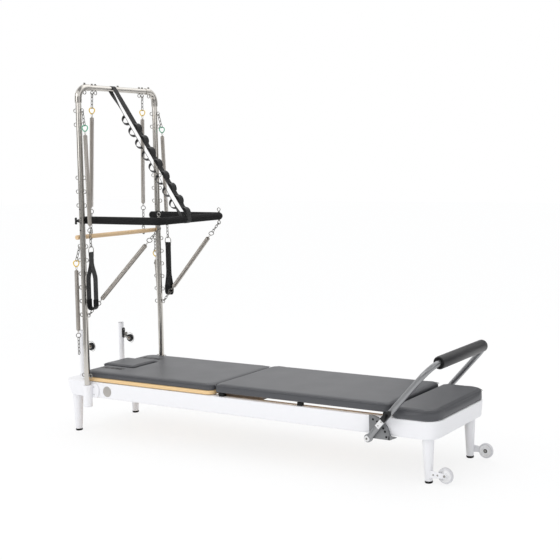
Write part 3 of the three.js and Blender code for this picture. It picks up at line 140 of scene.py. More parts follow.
# Other panels: place, half sizes, target, tone, and whether they hold back soft light
PANELS = (
    ("card above", (0.4, -1.2, 7.5), (5.0, 2.4), (0.4, 0, 1.9), 0.4),
    ("card on the floor", (2.5, -5.4, 0.01), (6.5, 3.6), (2.5, -5.4, 1), 0.34),
    ("card behind", (1.1, 3.0, 1.3), (1.7, 1.0), (1.1, 0, 0.4), 0.4),
    ("flag at the foot end", (5.2, 0.6, 1.9), (3.0, 1.5), (0.8, 0, 0.5), 0.25, True),
    ("flag at the head end", (-5.4, -0.6, 1.7), (2.2, 1.3), (-1.2, 0, 0.4), 0.75, True),
)


def at(x, y, z):
    """A place in the frame, in metres, from millimetres along the bed."""
    return Vector(((x - MIDDLE) / 1000, y / 1000, z / 1000))


def srgb(red, green, blue, alpha=1.0):
    """A colour as a screen shows it, turned to the linear values that shaders take."""
    def linear(value):
        share = value / 255
        return share / 12.92 if share <= 0.04045 else ((share + 0.055) / 1.055) ** 2.4
    return (linear(red), linear(green), linear(blue), alpha)


# Sizes and colours that a user would change
def length(name, description, default):
    return FloatProperty(name=name, description=description, default=default, unit="LENGTH", precision=4)


def colour(name, description, default):
    return FloatVectorProperty(
        name=name, description=description, default=default[:3], subtype="COLOR", size=3, min=0, max=1
    )


class TowerSizes(bpy.types.PropertyGroup):
    """Sizes of tubes, wires and cushions."""

    post_radius: length("Post radius", "Radius of the tower's tubes", 0.0175)
    foam_radius: length("Foam radius", "Radius of the push-through bar's foam sleeve", 0.023)
    closed_radius: length("Closed radius", "Radius of a resting spring's curls", 0.0116)
    open_radius: length("Open radius", "Radius of a stretched spring's curls", 0.0124)
    spring_wire: length("Spring wire", "Radius of the coils' wire", 0.0014)
    grip_radius: length("Grip radius", "Radius of the footbar's padded grip", 0.0335)
    pad_swell: length("Pad swell", "How far the filling pushes the covers out", 0.0035)
    closed_curls: IntProperty(name="Closed curls", description="Curls of a spring at rest", default=176, min=8)
    open_curls: IntProperty(name="Open curls", description="Curls of a stretched spring", default=168, min=8)


class TowerColours(bpy.types.PropertyGroup):
    """Colours of the finishes."""

    frame_white: colour("Frame", "Powder coat of the bed", srgb(238, 238, 241))
    cover_grey: colour("Covers", "Vinyl covers of the pads", srgb(80, 81, 85))
    ply: colour("Plywood", "Clear birch plywood", srgb(240, 205, 152))
    dowel: colour("Dowel", "Roll-down bar's wood", srgb(224, 192, 150))
    ring_yellow: colour("Yellow rings", "Rings of the heavier springs", srgb(232, 192, 40))
    ring_green: colour("Green rings", "Rings of the lighter springs", srgb(70, 168, 130))
    black: colour("Black parts", "Foam, straps and mouldings", srgb(30, 30, 31))


# Shader sums
class Value:
    """A shader socket that takes part in sums."""

    def __init__(self, finish, socket):
        self.finish = finish
        self.socket = socket

    def math(self, operation, other):
        return self.finish.node("ShaderNodeMath", {"operation": operation}, {0: self, 1: other})

    def __add__(self, other):
        return self.math("ADD", other)

    __radd__ = __add__

    def __sub__(self, other):
        return self.math("SUBTRACT", other)

    def __mul__(self, other):
        return self.math("MULTIPLY", other)


class Finish:
    """A material whose nodes are added one by one to its Principled shader."""

    def __init__(self, name, roughness=0.5, metallic=0.0, coat=0.0, specular=0.5, sheen=0.0):
        self.material = bpy.data.materials.new(name)
        self.material.use_nodes = True
        self.tree = self.material.node_tree
        self.shader = self.tree.nodes["Principled BSDF"]
        self.set("Roughness", roughness)
        self.set("Metallic", metallic)
        self.set("Coat Weight", coat)
        self.set("Specular IOR Level", specular)
        self.set("Sheen Weight", sheen)

    def set(self, socket, value):
        if isinstance(value, Value):
            self.tree.links.new(value.socket, self.shader.inputs[socket])
        else:
            self.shader.inputs[socket].default_value = value

    def node(self, kind, settings=None, sockets=None, output=0):
        made = self.tree.nodes.new(kind)
        for name, value in (settings or {}).items():
            if name == "stops":
                ramp = made.color_ramp.elements
                while len(ramp) < len(value):
                    ramp.new(0.5)
                for stop, (place, shade) in zip(ramp, value):
                    stop.position = place
                    stop.color = shade
            else:
                setattr(made, name, value)
        for name, value in (sockets or {}).items():
            if isinstance(value, Value):
                self.tree.links.new(value.socket, made.inputs[name])
            else:
                made.inputs[name].default_value = value
        return Value(self, made.outputs[output])

    def place(self, scale=(1, 1, 1), turn=(0, 0, 0)):
        """Object coordinates in metres, stretched or turned."""
        spot = self.node("ShaderNodeTexCoord", output="Object")
        return self.node("ShaderNodeMapping", None, {"Vector": spot, "Scale": scale, "Rotation": turn})

    def noise(self, scale, detail=2.0, rough=0.5, where=None):
        where = where or self.place()
        sockets = {"Vector": where, "Scale": scale, "Detail": detail, "Roughness": rough}
        return self.node("ShaderNodeTexNoise", None, sockets)

    def cells(self, scale, feature="F1"):
        sockets = {"Vector": self.place(), "Scale": scale}
        return self.node("ShaderNodeTexVoronoi", {"feature": feature}, sockets)

    def wave(self, scale, where, distortion=0.0, direction="X"):
        settings = {"wave_type": "BANDS", "bands_direction": direction, "wave_profile": "SIN"}
        sockets = {"Vector": where, "Scale": scale, "Distortion": distortion}
        return self.node("ShaderNodeTexWave", settings, sockets)

    def mix(self, share, first, second):
        first, second = (item if isinstance(item, Value) else tuple(item) for item in (first, second))
        return self.node("ShaderNodeMix", {"data_type": "RGBA"}, {0: share, 6: first, 7: second}, output=2)

    def ramp(self, share, *stops):
        return self.node("ShaderNodeValToRGB", {"stops": stops}, {"Fac": share})

    def bump(self, height, strength, distance=0.0005):
        sockets = {"Height": height, "Strength": strength, "Distance": distance}
        self.set("Normal", self.node("ShaderNodeBump", None, sockets))


def shade(base, factor):
    """The same colour, darker or lighter."""
    return tuple(min(1.0, value * factor) for value in base[:3]) + (1.0,)


def mottled(finish, base, scale, spread=0.08):
    """A base colour that drifts a little over the surface."""
    share = finish.noise(scale, 3)
    finish.set("Base Color", finish.mix(share, shade(base, 1 - spread), shade(base, 1 + spread)))
    return share


def powder_coat(name, base):
    finish = Finish(name, specular=0.4)
    drift = mottled(finish, base, 2.5, 0.012)
    peel = finish.noise(520, 1)
    finish.set("Roughness", 0.3 + drift * 0.12)
    finish.bump(peel, 0.06, 0.0003)
    return finish.material


def polished(name, base, roughness, streak=(1, 1, 1), strength=0.05):
    finish = Finish(name, metallic=1.0)
    brushed = finish.noise(300, 2, 0.6, finish.place(streak))
    patches = finish.noise(9, 2)
    finish.set("Base Color", finish.mix(patches, shade(base, 0.92), shade(base, 1.04)))
    finish.set("Roughness", roughness + brushed * 0.08 + patches * 0.04)
    finish.bump(brushed, strength, 0.0001)
    return finish.material


def vinyl(name, base, roughness=0.38):
    finish = Finish(name, specular=0.5)
    grain = finish.cells(420, feature="DISTANCE_TO_EDGE")
    pores = finish.noise(900, 2)
    drift = finish.noise(5, 3)
    tone = finish.mix(drift, shade(base, 0.955), shade(base, 1.03))
    finish.set("Base Color", finish.mix(grain * 0.5, shade(base, 0.93), tone))
    finish.set("Roughness", roughness + drift * 0.1 - grain * 0.12)
    finish.bump(grain * 0.7 + pores * 0.3, 0.22, 0.0003)
    return finish.material


def plywood(name, base):
    finish = Finish(name, coat=0.15)
    layers = finish.wave(38, finish.place((0, 0, 1)), 0.0, "Z")
    edge = finish.ramp(layers, (0.0, shade(base, 0.72)), (0.45, shade(base, 1.0)), (1.0, shade(base, 1.12)))
    grain = finish.noise(28, 5, 0.65, finish.place((1, 14, 1)))
    stripes = finish.wave(9, finish.place((1, 1, 1), (0, 0.6, 0)), 2.5, "X")
    veneer = finish.mix(grain, shade(base, 0.84), shade(base, 1.1))
    upright = finish.node("ShaderNodeNewGeometry", output="Normal")
    split = finish.node("ShaderNodeSeparateXYZ", None, {0: upright}, output=2)
    flat = split.math("ABSOLUTE", 0.0).math("GREATER_THAN", 0.7)
    side = finish.mix(stripes * 0.35, edge, shade(base, 0.9))
    finish.set("Base Color", finish.mix(flat, side, veneer))
    finish.set("Roughness", 0.38 + grain * 0.2)
    finish.bump(grain * 0.5 + layers * 0.5, 0.12, 0.0003)
    return finish.material


def turned_wood(name, base):
    finish = Finish(name, coat=0.2)
    grain = finish.noise(55, 5, 0.6, finish.place((1, 0.04, 1)))
    fibres = finish.noise(420, 2, 0.5, finish.place((1, 0.03, 1)))
    finish.set("Base Color", finish.mix(grain, shade(base, 0.78), shade(base, 1.12)))
    finish.set("Roughness", 0.36 + fibres * 0.18)
    finish.bump(fibres, 0.12, 0.0002)
    return finish.material


def foam_skin(name, base):
    finish = Finish(name, specular=0.3)
    cells = finish.cells(700)
    lumps = finish.noise(60, 3)
    finish.set("Base Color", finish.mix(lumps, shade(base, 0.75), shade(base, 1.45)))
    finish.set("Roughness", 0.78 + cells * 0.18)
    finish.bump(cells * 0.7 + lumps * 0.5, 0.35, 0.0005)
    return finish.material


def webbing(name, base):
    finish = Finish(name, specular=0.25, sheen=0.3)
    ribs = finish.wave(260, finish.place(), 0.0, "Z")
    rows = finish.wave(180, finish.place((1, 1, 0)), 0.0, "DIAGONAL")
    fuzz = finish.noise(500, 3)
    weave = ribs * 0.5 + rows * 0.5
    finish.set("Base Color", finish.mix(weave, shade(base, 0.6), shade(base, 1.6)))
    finish.set("Roughness", 0.75 + fuzz * 0.2)
    finish.bump(weave + fuzz * 0.3, 0.5, 0.0006)
    return finish.material


def moulded(name, base, roughness=0.45, grit=0.12):
    finish = Finish(name, specular=0.45)
    drift = mottled(finish, base, 30, 0.12)
    spark = finish.noise(1300, 2)
    finish.set("Roughness", roughness + drift * 0.12)
    finish.bump(spark, grit, 0.0002)
    return finish.material


def cracked_rubber(name, base):
    finish = Finish(name, specular=0.3)
    dust = finish.noise(40, 4, 0.6)
    scuffs = finish.noise(160, 3, 0.7, finish.place((1, 1, 5)))
    finish.set("Base Color", finish.mix(dust * 0.6, base, shade(base, 2.2)))
    finish.set("Roughness", 0.7 + scuffs * 0.2)
    finish.bump(scuffs, 0.2, 0.0004)
    return finish.material


FINISHES = {}


def finishes(colours):
    """Makes every material once, from the colours that the user set."""
    if FINISHES:
        return
    black = tuple(colours.black) + (1.0,)
    FINISHES.update(
        coat=powder_coat("white powder coat", colours.frame_white),
        plate=moulded("white plate", srgb(228, 228, 229), 0.4, 0.05),
        chrome=polished("polished steel", srgb(206, 202, 196), 0.1, (1, 1, 0.05), 0.02),
        track=polished("rolled track", srgb(212, 198, 184), 0.4, (0.04, 1, 1), 0.08),
        wire=polished("spring wire", srgb(198, 192, 185), 0.28),
        zinc=polished("zinc hardware", srgb(168, 166, 162), 0.22),
        link=polished("steel links", srgb(128, 126, 122), 0.25),
        alloy=polished("satin tube", srgb(164, 165, 167), 0.36, (1, 1, 0.2), 0.08),
        quadrant=polished("blasted alloy", srgb(150, 151, 153), 0.46, (1, 1, 1), 0.12),
        ply=plywood("birch plywood", colours.ply),
        dowel=turned_wood("turned dowel", colours.dowel),
        batten=turned_wood("stained batten", srgb(112, 98, 84)),
        cover=vinyl("grey vinyl", colours.cover_grey),
        piping=vinyl("cover piping", shade(colours.cover_grey, 0.9), 0.42),
        sleeve=vinyl("dark vinyl sleeve", srgb(47, 47, 49), 0.36),
        seam=vinyl("sleeve seam", srgb(28, 28, 29), 0.5),
        foam=foam_skin("black foam", shade(black, 0.7)),
        strap=webbing("black webbing", shade(black, 0.55)),
        plastic=moulded("black moulding", black),
        tread=moulded("grey tread", srgb(214, 214, 217), 0.35, 0.05),
        hub=moulded("white hub", srgb(236, 236, 237), 0.35, 0.05),
        bronze=polished("bronze bush", srgb(132, 108, 84), 0.35),
        disc=polished("bare disc", srgb(206, 202, 197), 0.38, (1, 1, 1), 0.1),
        rubber=cracked_rubber("black rubber", srgb(22, 22, 22)),
        # Painted shade: a flat near-black finish for patches that stand for the shade inside holes, slots,
        # sockets and gaps
        dark=moulded("painted shade of openings", srgb(20, 20, 21), 0.8, 0.05),
        cap=moulded("grey cap", srgb(206, 206, 208), 0.4, 0.05),
        insert=moulded("grey insert", srgb(70, 70, 72), 0.5, 0.08),
        yellow=moulded("yellow coating", colours.ring_yellow, 0.35, 0.04),
        green=moulded("green coating", colours.ring_green, 0.35, 0.04),
    )


# Shaping
def turns(first, last, steps):
    """Angles from first to last in even steps, both ends included."""
    return [first + (last - first) * step / steps for step in range(steps + 1)]


def upright_arc(x, y, z, radius, angles):
    """Places on a circle that faces across the bed."""
    return [at(x + radius * math.cos(a), y, z + radius * math.sin(a)) for a in angles]


def mirrored(*half):
    """A closed profile that is the same on both sides of its middle, from the half above it."""
    below = [(radius, -distance) for radius, distance in half]
    above = [point for point in reversed(half) if point[1]]
    return [*below, *above, below[0]]


def extrude(outline, travel):
    """A flat outline carried along travel."""
    part = bmesh.new()
    face = part.faces.new([part.verts.new(point) for point in outline])
    made = bmesh.ops.extrude_face_region(part, geom=[face])
    moved = [item for item in made["geom"] if isinstance(item, bmesh.types.BMVert)]
    bmesh.ops.translate(part, vec=travel, verts=moved)
    bmesh.ops.recalc_face_normals(part, faces=part.faces)
    return part


def bevel(part, edges, reach, segments, clamp=False):
    """Rounds some of a solid's edges; reach is in millimetres."""
    bmesh.ops.bevel(
        part, geom=edges, offset=reach / 1000, segments=segments, profile=0.5,
        affect="EDGES", material=-1, clamp_overlap=clamp,
    )


def revolve(part, steps):
    """Carries a section once round the Z axis."""
    bmesh.ops.spin(
        part, geom=part.verts[:] + part.edges[:], cent=(0, 0, 0), axis=(0, 0, 1),
        angle=2 * math.pi, steps=steps, use_merge=True,
    )


def aim(part, start, end):
    """Turns a solid made along Z at the origin so that it runs from start towards end."""
    turn = (end - start).to_track_quat("Z", "Y").to_matrix().to_4x4()
    bmesh.ops.transform(part, matrix=Matrix.Translation(start) @ turn, verts=part.verts)


def to_object(name, part):
    """Turns a finished shape into an object of the scene."""
    data = bpy.data.meshes.new(name)
    part.to_mesh(data)
    part.free()
    obj = bpy.data.objects.new(name, data)
    bpy.context.scene.collection.objects.link(obj)
    return obj


def evaluated(obj):
    """An object's mesh with its modifiers applied."""
    return bpy.data.meshes.new_from_object(obj.evaluated_get(bpy.context.evaluated_depsgraph_get()))


class Form:
    """One piece being shaped from solids, each with its own finish."""

    def __init__(self):
        self.mesh = bmesh.new()
        self.used = []

    def take(self, part, finish, sharp=38.0):
        """Adds a finished solid: doubles merged, faces outwards, round faces smooth."""
        if finish not in self.used:
            self.used.append(finish)
        bmesh.ops.remove_doubles(part, verts=part.verts, dist=1e-6)
        bmesh.ops.recalc_face_normals(part, faces=part.faces)
        for face in part.faces:
            face.material_index = self.used.index(finish)
            face.smooth = True
        limit = math.radians(sharp)
        for edge in part.edges:
            edge.smooth = edge.calc_face_angle(0.0) < limit
        data = bpy.data.meshes.new("part")
        part.to_mesh(data)
        part.free()
        self.mesh.from_mesh(data)
        bpy.data.meshes.remove(data)

    def rod(self, start, end, radius, finish, end_radius=None, edge=0.0, sides=36):
        """A round bar or cone whose rims may be rounded."""
        part = bmesh.new()
        far = radius if end_radius is None else end_radius
        run = (end - start).length
        bmesh.ops.create_cone(
            part, cap_ends=True, segments=sides, radius1=radius / 1000, radius2=far / 1000, depth=run
        )
        bmesh.ops.translate(part, vec=(0, 0, run / 2), verts=part.verts)
        if edge:
            bevel(part, [e for e in part.edges if e.calc_face_angle(0.0) > 1.0], edge, 3)
        aim(part, start, end)
        self.take(part, finish)

    def ring(self, centre, normal, radius, wire, finish, steps=32, sides=10):
        """A closed ring of round wire."""
        part = bmesh.new()
        made = bmesh.ops.create_circle(part, cap_ends=False, segments=sides, radius=wire / 1000)
        bmesh.ops.rotate(part, verts=made["verts"], matrix=Matrix.Rotation(math.pi / 2, 3, "X"))
        bmesh.ops.translate(part, verts=made["verts"], vec=(radius / 1000, 0, 0))
        revolve(part, steps)
        aim(part, centre, centre + normal)
        self.take(part, finish)

    def eye(self, centre):
        """The ring of a screw eye."""
        self.ring(centre, ACROSS, EYE_RADIUS, EYE_WIRE, "zinc", 28, 8)

    def lathe(self, profile, start, way, finish, sides=48):
        """A profile of (radius, distance) pairs turned about the line through start along way."""
        part = bmesh.new()
        points = [part.verts.new((radius / 1000, 0, distance / 1000)) for radius, distance in profile]
        for first, second in zip(points, points[1:]):
            part.edges.new((first, second))
        revolve(part, sides)
        aim(part, start, start + way)
        self.take(part, finish)

    def box(self, first, second, finish, edge=1.0):
        """A block between two opposite corners, with rounded edges."""
        low = Vector([min(pair) for pair in zip(first, second)])
        high = Vector([max(pair) for pair in zip(first, second)])
        part = bmesh.new()
        bmesh.ops.create_cube(part, size=1)
        bmesh.ops.scale(part, vec=high - low, verts=part.verts)
        bmesh.ops.translate(part, vec=(low + high) / 2, verts=part.verts)
        if edge:
            bevel(part, part.edges[:], edge, 2)
        self.take(part, finish)

    def slab(self, outline, travel, finish, edge=0.0, segments=3):
        """A flat outline carried along travel, with its rims rounded."""
        part = extrude(outline, travel)
        if edge:
            bevel(part, [e for e in part.edges if e.calc_face_angle(0.0) > CREASE], edge, segments, True)
        self.take(part, finish)

    def tube(self, route, radius, finish, sides=20, closed=False):
        """A round tube or wire along a route."""
        curve = bpy.data.curves.new("route", "CURVE")
        curve.dimensions = "3D"
        curve.bevel_depth = radius / 1000
        curve.bevel_resolution = max(0, sides // 2 - 2)
        curve.use_fill_caps = not closed
        spline = curve.splines.new("POLY")
        spline.points.add(len(route) - 1)
        for point, place in zip(spline.points, route):
            point.co = (*place, 1)
        spline.use_cyclic_u = closed
        carrier = bpy.data.objects.new("route", curve)
        bpy.context.scene.collection.objects.link(carrier)
        bpy.context.view_layer.update()
        data = evaluated(carrier)
        part = bmesh.new()
        part.from_mesh(data)
        bpy.data.objects.remove(carrier)
        bpy.data.meshes.remove(data)
        self.take(part, finish, 60)

    def ribbon(self, route, width, thickness, finish, closed=False):
        """A flat band along a route: width is the vector across it, or a list with one for each point."""
        part = bmesh.new()
        widths = width if isinstance(width, list) else [width] * len(route)
        edges = []
        for side in (-0.5, 0.5):
            points = [part.verts.new(point + across * side) for point, across in zip(route, widths)]
            pairs = list(zip(points, points[1:]))
            if closed:
                pairs.append((points[-1], points[0]))
            edges += [part.edges.new(pair) for pair in pairs]
        bmesh.ops.bridge_loops(part, edges=edges)
        bmesh.ops.recalc_face_normals(part, faces=part.faces)
        bmesh.ops.solidify(part, geom=part.faces[:], thickness=thickness / 1000)
        self.take(part, finish, 50)

    def piece(self, name, body, slot):
        """An object that rides on its body, or stays fixed where it is built when given a tuple, and stands
        for the node of its name.
        """
        obj = to_object(name, self.mesh)
        for finish in self.used:
            obj.data.materials.append(FINISHES[finish])
        if isinstance(body, tuple):
            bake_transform(obj)
        else:
            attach(obj, body)
        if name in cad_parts:
            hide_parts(name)
        return obj


class Step:
    """What the building steps share: the finishes first, then the pieces in the user's sizes."""

    def execute(self, context):
        finishes(context.scene.tower_colours)
        self.build(context.scene.tower_sizes)
        return {"FINISHED"}


def rounded(before, corner, after, radius, steps=10):
    """The arc that rounds a route's corner."""
    back = (before - corner).normalized()
    forth = (after - corner).normalized()
    half = back.angle(forth) / 2
    reach = radius / 1000 / math.tan(half)
    centre = corner + (back + forth).normalized() * (radius / 1000 / math.sin(half))
    arm = corner + back * reach - centre
    axis = forth.cross(back).normalized()
    return [centre + Matrix.Rotation(angle, 3, axis) @ arm for angle in turns(0, math.pi - 2 * half, steps)]


def plan_outline(plan, z, inset=0.0, steps=8):
    """A rounded rectangle seen from above, from a pad's plan."""
    x0, x1, half, (start, end) = plan
    quarter = math.pi / 2
    corners = (
        (x0 + start, -half + start, start, 2), (x1 - end, -half + end, end, 3),
        (x1 - end, half - end, end, 0), (x0 + start, half - start, start, 1),
    )
    points = []
    for cx, cy, radius, turn in corners:
        reach = max(radius - inset, 0.5)
        for angle in turns(turn * quarter, (turn + 1) * quarter, steps):
            points.append(at(cx + reach * math.cos(angle), cy + reach * math.sin(angle), z))
    return points


def arm_point(reach, y, lift=0.0):
    """A place on the footbar's arm: reach from the pivot, and lift square to the arm."""
    x = FOOT_PIVOT[0] + reach * math.cos(ARM_ANGLE) - lift * math.sin(ARM_ANGLE)
    z = FOOT_PIVOT[1] + reach * math.sin(ARM_ANGLE) + lift * math.cos(ARM_ANGLE)
    return at(x, y, z)


# Bed frame
def end_outline(inner, face, corner, z):
    """The plan of an end beam, rounded at its outer corners."""
    sense = 1 if face > inner else -1
    quarter = turns(0, math.pi / 2, 12)
    points = [at(inner, -RAIL_Y, z)]
    for side, angles in ((-1, quarter), (1, reversed(quarter))):
        for a in angles:
            x = face - sense * corner * (1 - math.sin(a))
            points.append(at(x, side * (RAIL_Y - corner * (1 - math.cos(a))), z))
    return [*points, at(inner, RAIL_Y, z)]


def end_beam(name, inner, face, corner, draft):
    """A cast end, open below: its outer face leans out towards the top."""
    form = Form()
    sense = 1 if face > inner else -1
    part = bmesh.new()
    rings = []
    for outer, z in ((face - sense * draft, RAIL_BOTTOM), (face, RAIL_TOP)):
        radius = min(corner, abs(outer - inner) - 3)
        rings.append([part.verts.new(point) for point in end_outline(inner, outer, radius, z)])
    for ring in rings:
        part.faces.new(ring)
    rims = [list({e for v in ring for e in v.link_edges}) for ring in rings]
    bmesh.ops.bridge_loops(part, edges=rims[0] + rims[1])
    bmesh.ops.recalc_face_normals(part, faces=part.faces)
    seam = at(inner, 0, 0).x
    sharp = [e for e in part.edges if e.calc_face_angle(0.0) > CREASE]
    bevel(part, [e for e in sharp if any(abs(v.co.x - seam) > 1e-5 for v in e.verts)], 7, 4, True)
    # The pocket's mouth takes the place of the face below
    under = min(part.faces, key=lambda f: f.calc_center_median().z - (f.normal.z < -0.99) * f.calc_area())
    rim = list(under.edges)
    bmesh.ops.delete(part, geom=[under], context="FACES_ONLY")
    low, high = inner + sense * 8, face - sense * (draft + 22)
    mouth, roof = (
        [part.verts.new(at(x, y, z)) for x, y in ((low, -200), (high, -200), (high, 200), (low, 200))]
        for z in (RAIL_BOTTOM, RAIL_TOP - 14)
    )
    part.faces.new(roof)
    edges = [part.edges.new((mouth[i - 1], mouth[i])) for i in range(4)]
    for i in range(4):
        part.faces.new((mouth[i - 1], mouth[i], roof[i], roof[i - 1]))
    bmesh.ops.triangle_fill(part, edges=rim + edges, use_beauty=True, use_dissolve=False)
    bmesh.ops.recalc_face_normals(part, faces=part.faces)
    form.take(part, "coat")
    form.piece(name, "frame", "white_frame")


def dress(node, finish):
    """A CAD node whose shape is right keeps it and gets a better material."""
    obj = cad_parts[node]
    obj.data.materials.clear()
    obj.data.materials.append(FINISHES[finish])


class TOWER_OT_bed(Step, bpy.types.Operator):
    """Build the rails, the end beams, the tracks and the badge discs"""

    bl_idname = "tower.bed"
    bl_label = "Bed frame"

    def build(self, sizes):
        end_beam("head_end_beam", 115, 0, 60, 24)
        end_beam("foot_end_beam", BED_END - 132, FOOT_FACE, 92, 14)
        for side, label in SIDES:
            form = Form()
            inner, outer = side * (RAIL_Y - 45), side * RAIL_Y
            section = ((inner, RAIL_BOTTOM), (outer, RAIL_BOTTOM), (outer, RAIL_TOP), (inner, RAIL_TOP))
            outline = [at(RAIL_START, y, z) for y, z in section]
            form.slab(outline, at(RAIL_END, 0, 0) - at(RAIL_START, 0, 0), "coat", 6, 4)
            form.piece(f"side_rail_{label}", "frame", "white_frame")
            self.badge(side, label)
            dress(f"carriage_track_{label}", "track")
        dress("spring_bar", "zinc")

    def badge(self, side, label):
        """A bare turned disc with a raised rim on the rail."""
        form = Form()
        profile = [(0, 0), (32, 0), (32, 1.6), (30.5, 2.4), (28.5, 2.4), (27.5, 1.4), (0, 1.4)]
        form.lathe(profile, at(358, side * (RAIL_Y + 0.1), 283), ACROSS * side, "disc")
        form.piece(f"rail_disc_{label}", "frame", "satin_alloy")


class TOWER_OT_legs(Step, bpy.types.Operator):
    """Build the four legs with their rubber feet, and the transport wheels"""

    bl_idname = "tower.legs"
    bl_label = "Legs and wheels"

    def build(self, sizes):
        shaft = [(0, 0), (20, 0), (20.5, 1), (32, 225.4), (0, 225.4)]
        pad = [(0, 0), (18, 0), (19.5, 1), (21.5, 6), (21.5, 10), (20.5, 12), (0, 12)]
        for side, label in SIDES:
            y = side * LEG_Y
            for end, x in LEG_X.items():
                form = Form()
                form.lathe(shaft, at(x, y, 12.3), UP, "coat")
                if end == "foot":
                    self.bracket(form, side, y)
                form.piece(f"leg_{end}_{label}", "frame", "white_frame")
                foot = Form()
                foot.lathe(pad, at(x, y, 0), UP, "rubber")
                foot.piece(f"rubber_foot_{end}_{label}", "frame", "black_rubber")
            self.wheel(y, side, label)

    def bracket(self, form, side, y):
        """The plate that carries the wheel's axle, with its bolts."""
        inner = y + side * 12
        x = LEG_X["foot"]
        outline = [
            at(x, inner, 28), at(WHEEL_X - 8, inner, 38),
            *upright_arc(WHEEL_X, inner, WHEEL_Z, 12, turns(-math.pi / 2, math.pi / 2, 8)),
            at(WHEEL_X - 8, inner, 62), at(x, inner, 72),
        ]
        form.slab(outline, ACROSS * side * 0.005, "coat", 1)

        def bolt(x, near, far, radius, **shape):
            form.rod(at(x, near, WHEEL_Z), at(x, far, WHEEL_Z), radius, "zinc", **shape)

        bolt(WHEEL_X, y - side * 13, inner + side * 5, 5)
        # A dark ring of painted shade round the axle where it enters the hub
        form.ring(at(WHEEL_X, y - side * 11.6, WHEEL_Z), ACROSS, 8.6, 2.2, "dark", 32, 8)
        bolt(WHEEL_X, inner + side * 4, inner + side * 9, 7.5, edge=1.5, sides=6)
        for reach in (34, 58):
            bolt(x + reach, inner + side * 4, inner + side * 7, 4.5, edge=1)

    def wheel(self, y, side, label):
        """A tyre on a dished hub."""
        form = Form()
        tyre = mirrored((33, 9), (36, 11), (39.5, 10), (41.6, 6), (41.9, 0))
        hub = mirrored((5.8, 11), (14, 11), (16, 8), (18, 3), (28, 3), (30, 8), (33.2, 8))
        for profile, finish in ((tyre, "tread"), (hub, "hub")):
            form.lathe(profile, at(WHEEL_X, y, WHEEL_Z), ACROSS * side, finish)
        form.piece(f"transport_wheel_{label}", f"wheel_{label}", "wheel_tread")


# Padded pieces
def cushion(name, body, plan, z0, z1, swell, voxel, cuts=()):
    """A foam pad under a tight cover: swollen by pressure and flat below."""
    part = extrude(plan_outline(plan, z0, swell * 500), UP * ((z1 - z0) / 1000 - swell))
    top = z1 / 1000 - swell
    bevel(part, [e for e in part.edges if all(abs(v.co.z - top) < 1e-5 for v in e.verts)], 8, 5)
    obj = to_object(name, part)
    carve(obj, cuts)
    remesh = obj.modifiers.new("remesh", "REMESH")
    remesh.mode = "VOXEL"
    remesh.voxel_size = voxel
    remesh.use_smooth_shade = True
    settle(obj)
    inflate(obj, z0 / 1000, swell)
    obj.data.materials.clear()
    obj.data.materials.append(FINISHES["cover"])
    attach(obj, body)
    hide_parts(name)


def carve(obj, cuts):
    """Takes blocks out of a pad with the Boolean modifier."""
    for low, high in cuts:
        tool = Form()
        tool.box(low, high, "cover", 0)
        knife = to_object("tool", tool.mesh)
        cut = obj.modifiers.new("cut", "BOOLEAN")
        cut.operation = "DIFFERENCE"
        cut.solver = "EXACT"
        cut.object = knife
        settle(obj)
        bpy.data.objects.remove(knife)


def settle(obj):
    """Applies the modifiers that an object has."""
    bpy.context.view_layer.update()
    data = evaluated(obj)
    old = obj.data
    obj.modifiers.clear()
    obj.data = data
    bpy.data.meshes.remove(old)


def inflate(obj, base, swell):
    """Blows the cover up with cloth under pressure, and caps how far each point moves."""
    rest = [vertex.co.copy() for vertex in obj.data.vertices]
    held = obj.vertex_groups.new(name="held")
    held.add([index for index, point in enumerate(rest) if point.z < base + 0.004], 1.0, "REPLACE")
    cloth = obj.modifiers.new("cloth", "CLOTH")
    cloth.settings.quality = 3
    cloth.settings.use_pressure = True
    cloth.settings.uniform_pressure_force = 4
    cloth.settings.vertex_group_mass = "held"
    cloth.settings.effector_weights.gravity = 0
    cloth.collision_settings.use_collision = False
    for number in range(1, CLOTH_FRAMES + 1):
        bpy.context.scene.frame_set(number)
    blown = evaluated(obj)
    obj.modifiers.clear()
    obj.vertex_groups.clear()
    bpy.context.scene.frame_set(1)
    for vertex, point, other in zip(obj.data.vertices, rest, blown.vertices):
        move = other.co - point
        if move.length > swell:
            move = move.normalized() * swell
        vertex.co = point + move
    bpy.data.meshes.remove(blown)
    for polygon in obj.data.polygons:
        polygon.use_smooth = True
    smooth = obj.modifiers.new("smooth", "SUBSURF")
    smooth.levels = 1
    smooth.render_levels = 1
    settle(obj)


def piping(name, body, plan, z, inset=0.4):
    """The welted seam that runs round a pad below its top edge."""
    form = Form()
    form.tube(plan_outline(plan, z, inset, 12), PIPING, "piping", 8, True)
    form.piece(name, body, "grey_vinyl")


def board(form, plan, z0, z1):
    """A plywood board with rounded corners and eased edges."""
    form.slab(plan_outline(plan, z0, 0, 12), UP * ((z1 - z0) / 1000), "ply", 2, 2)


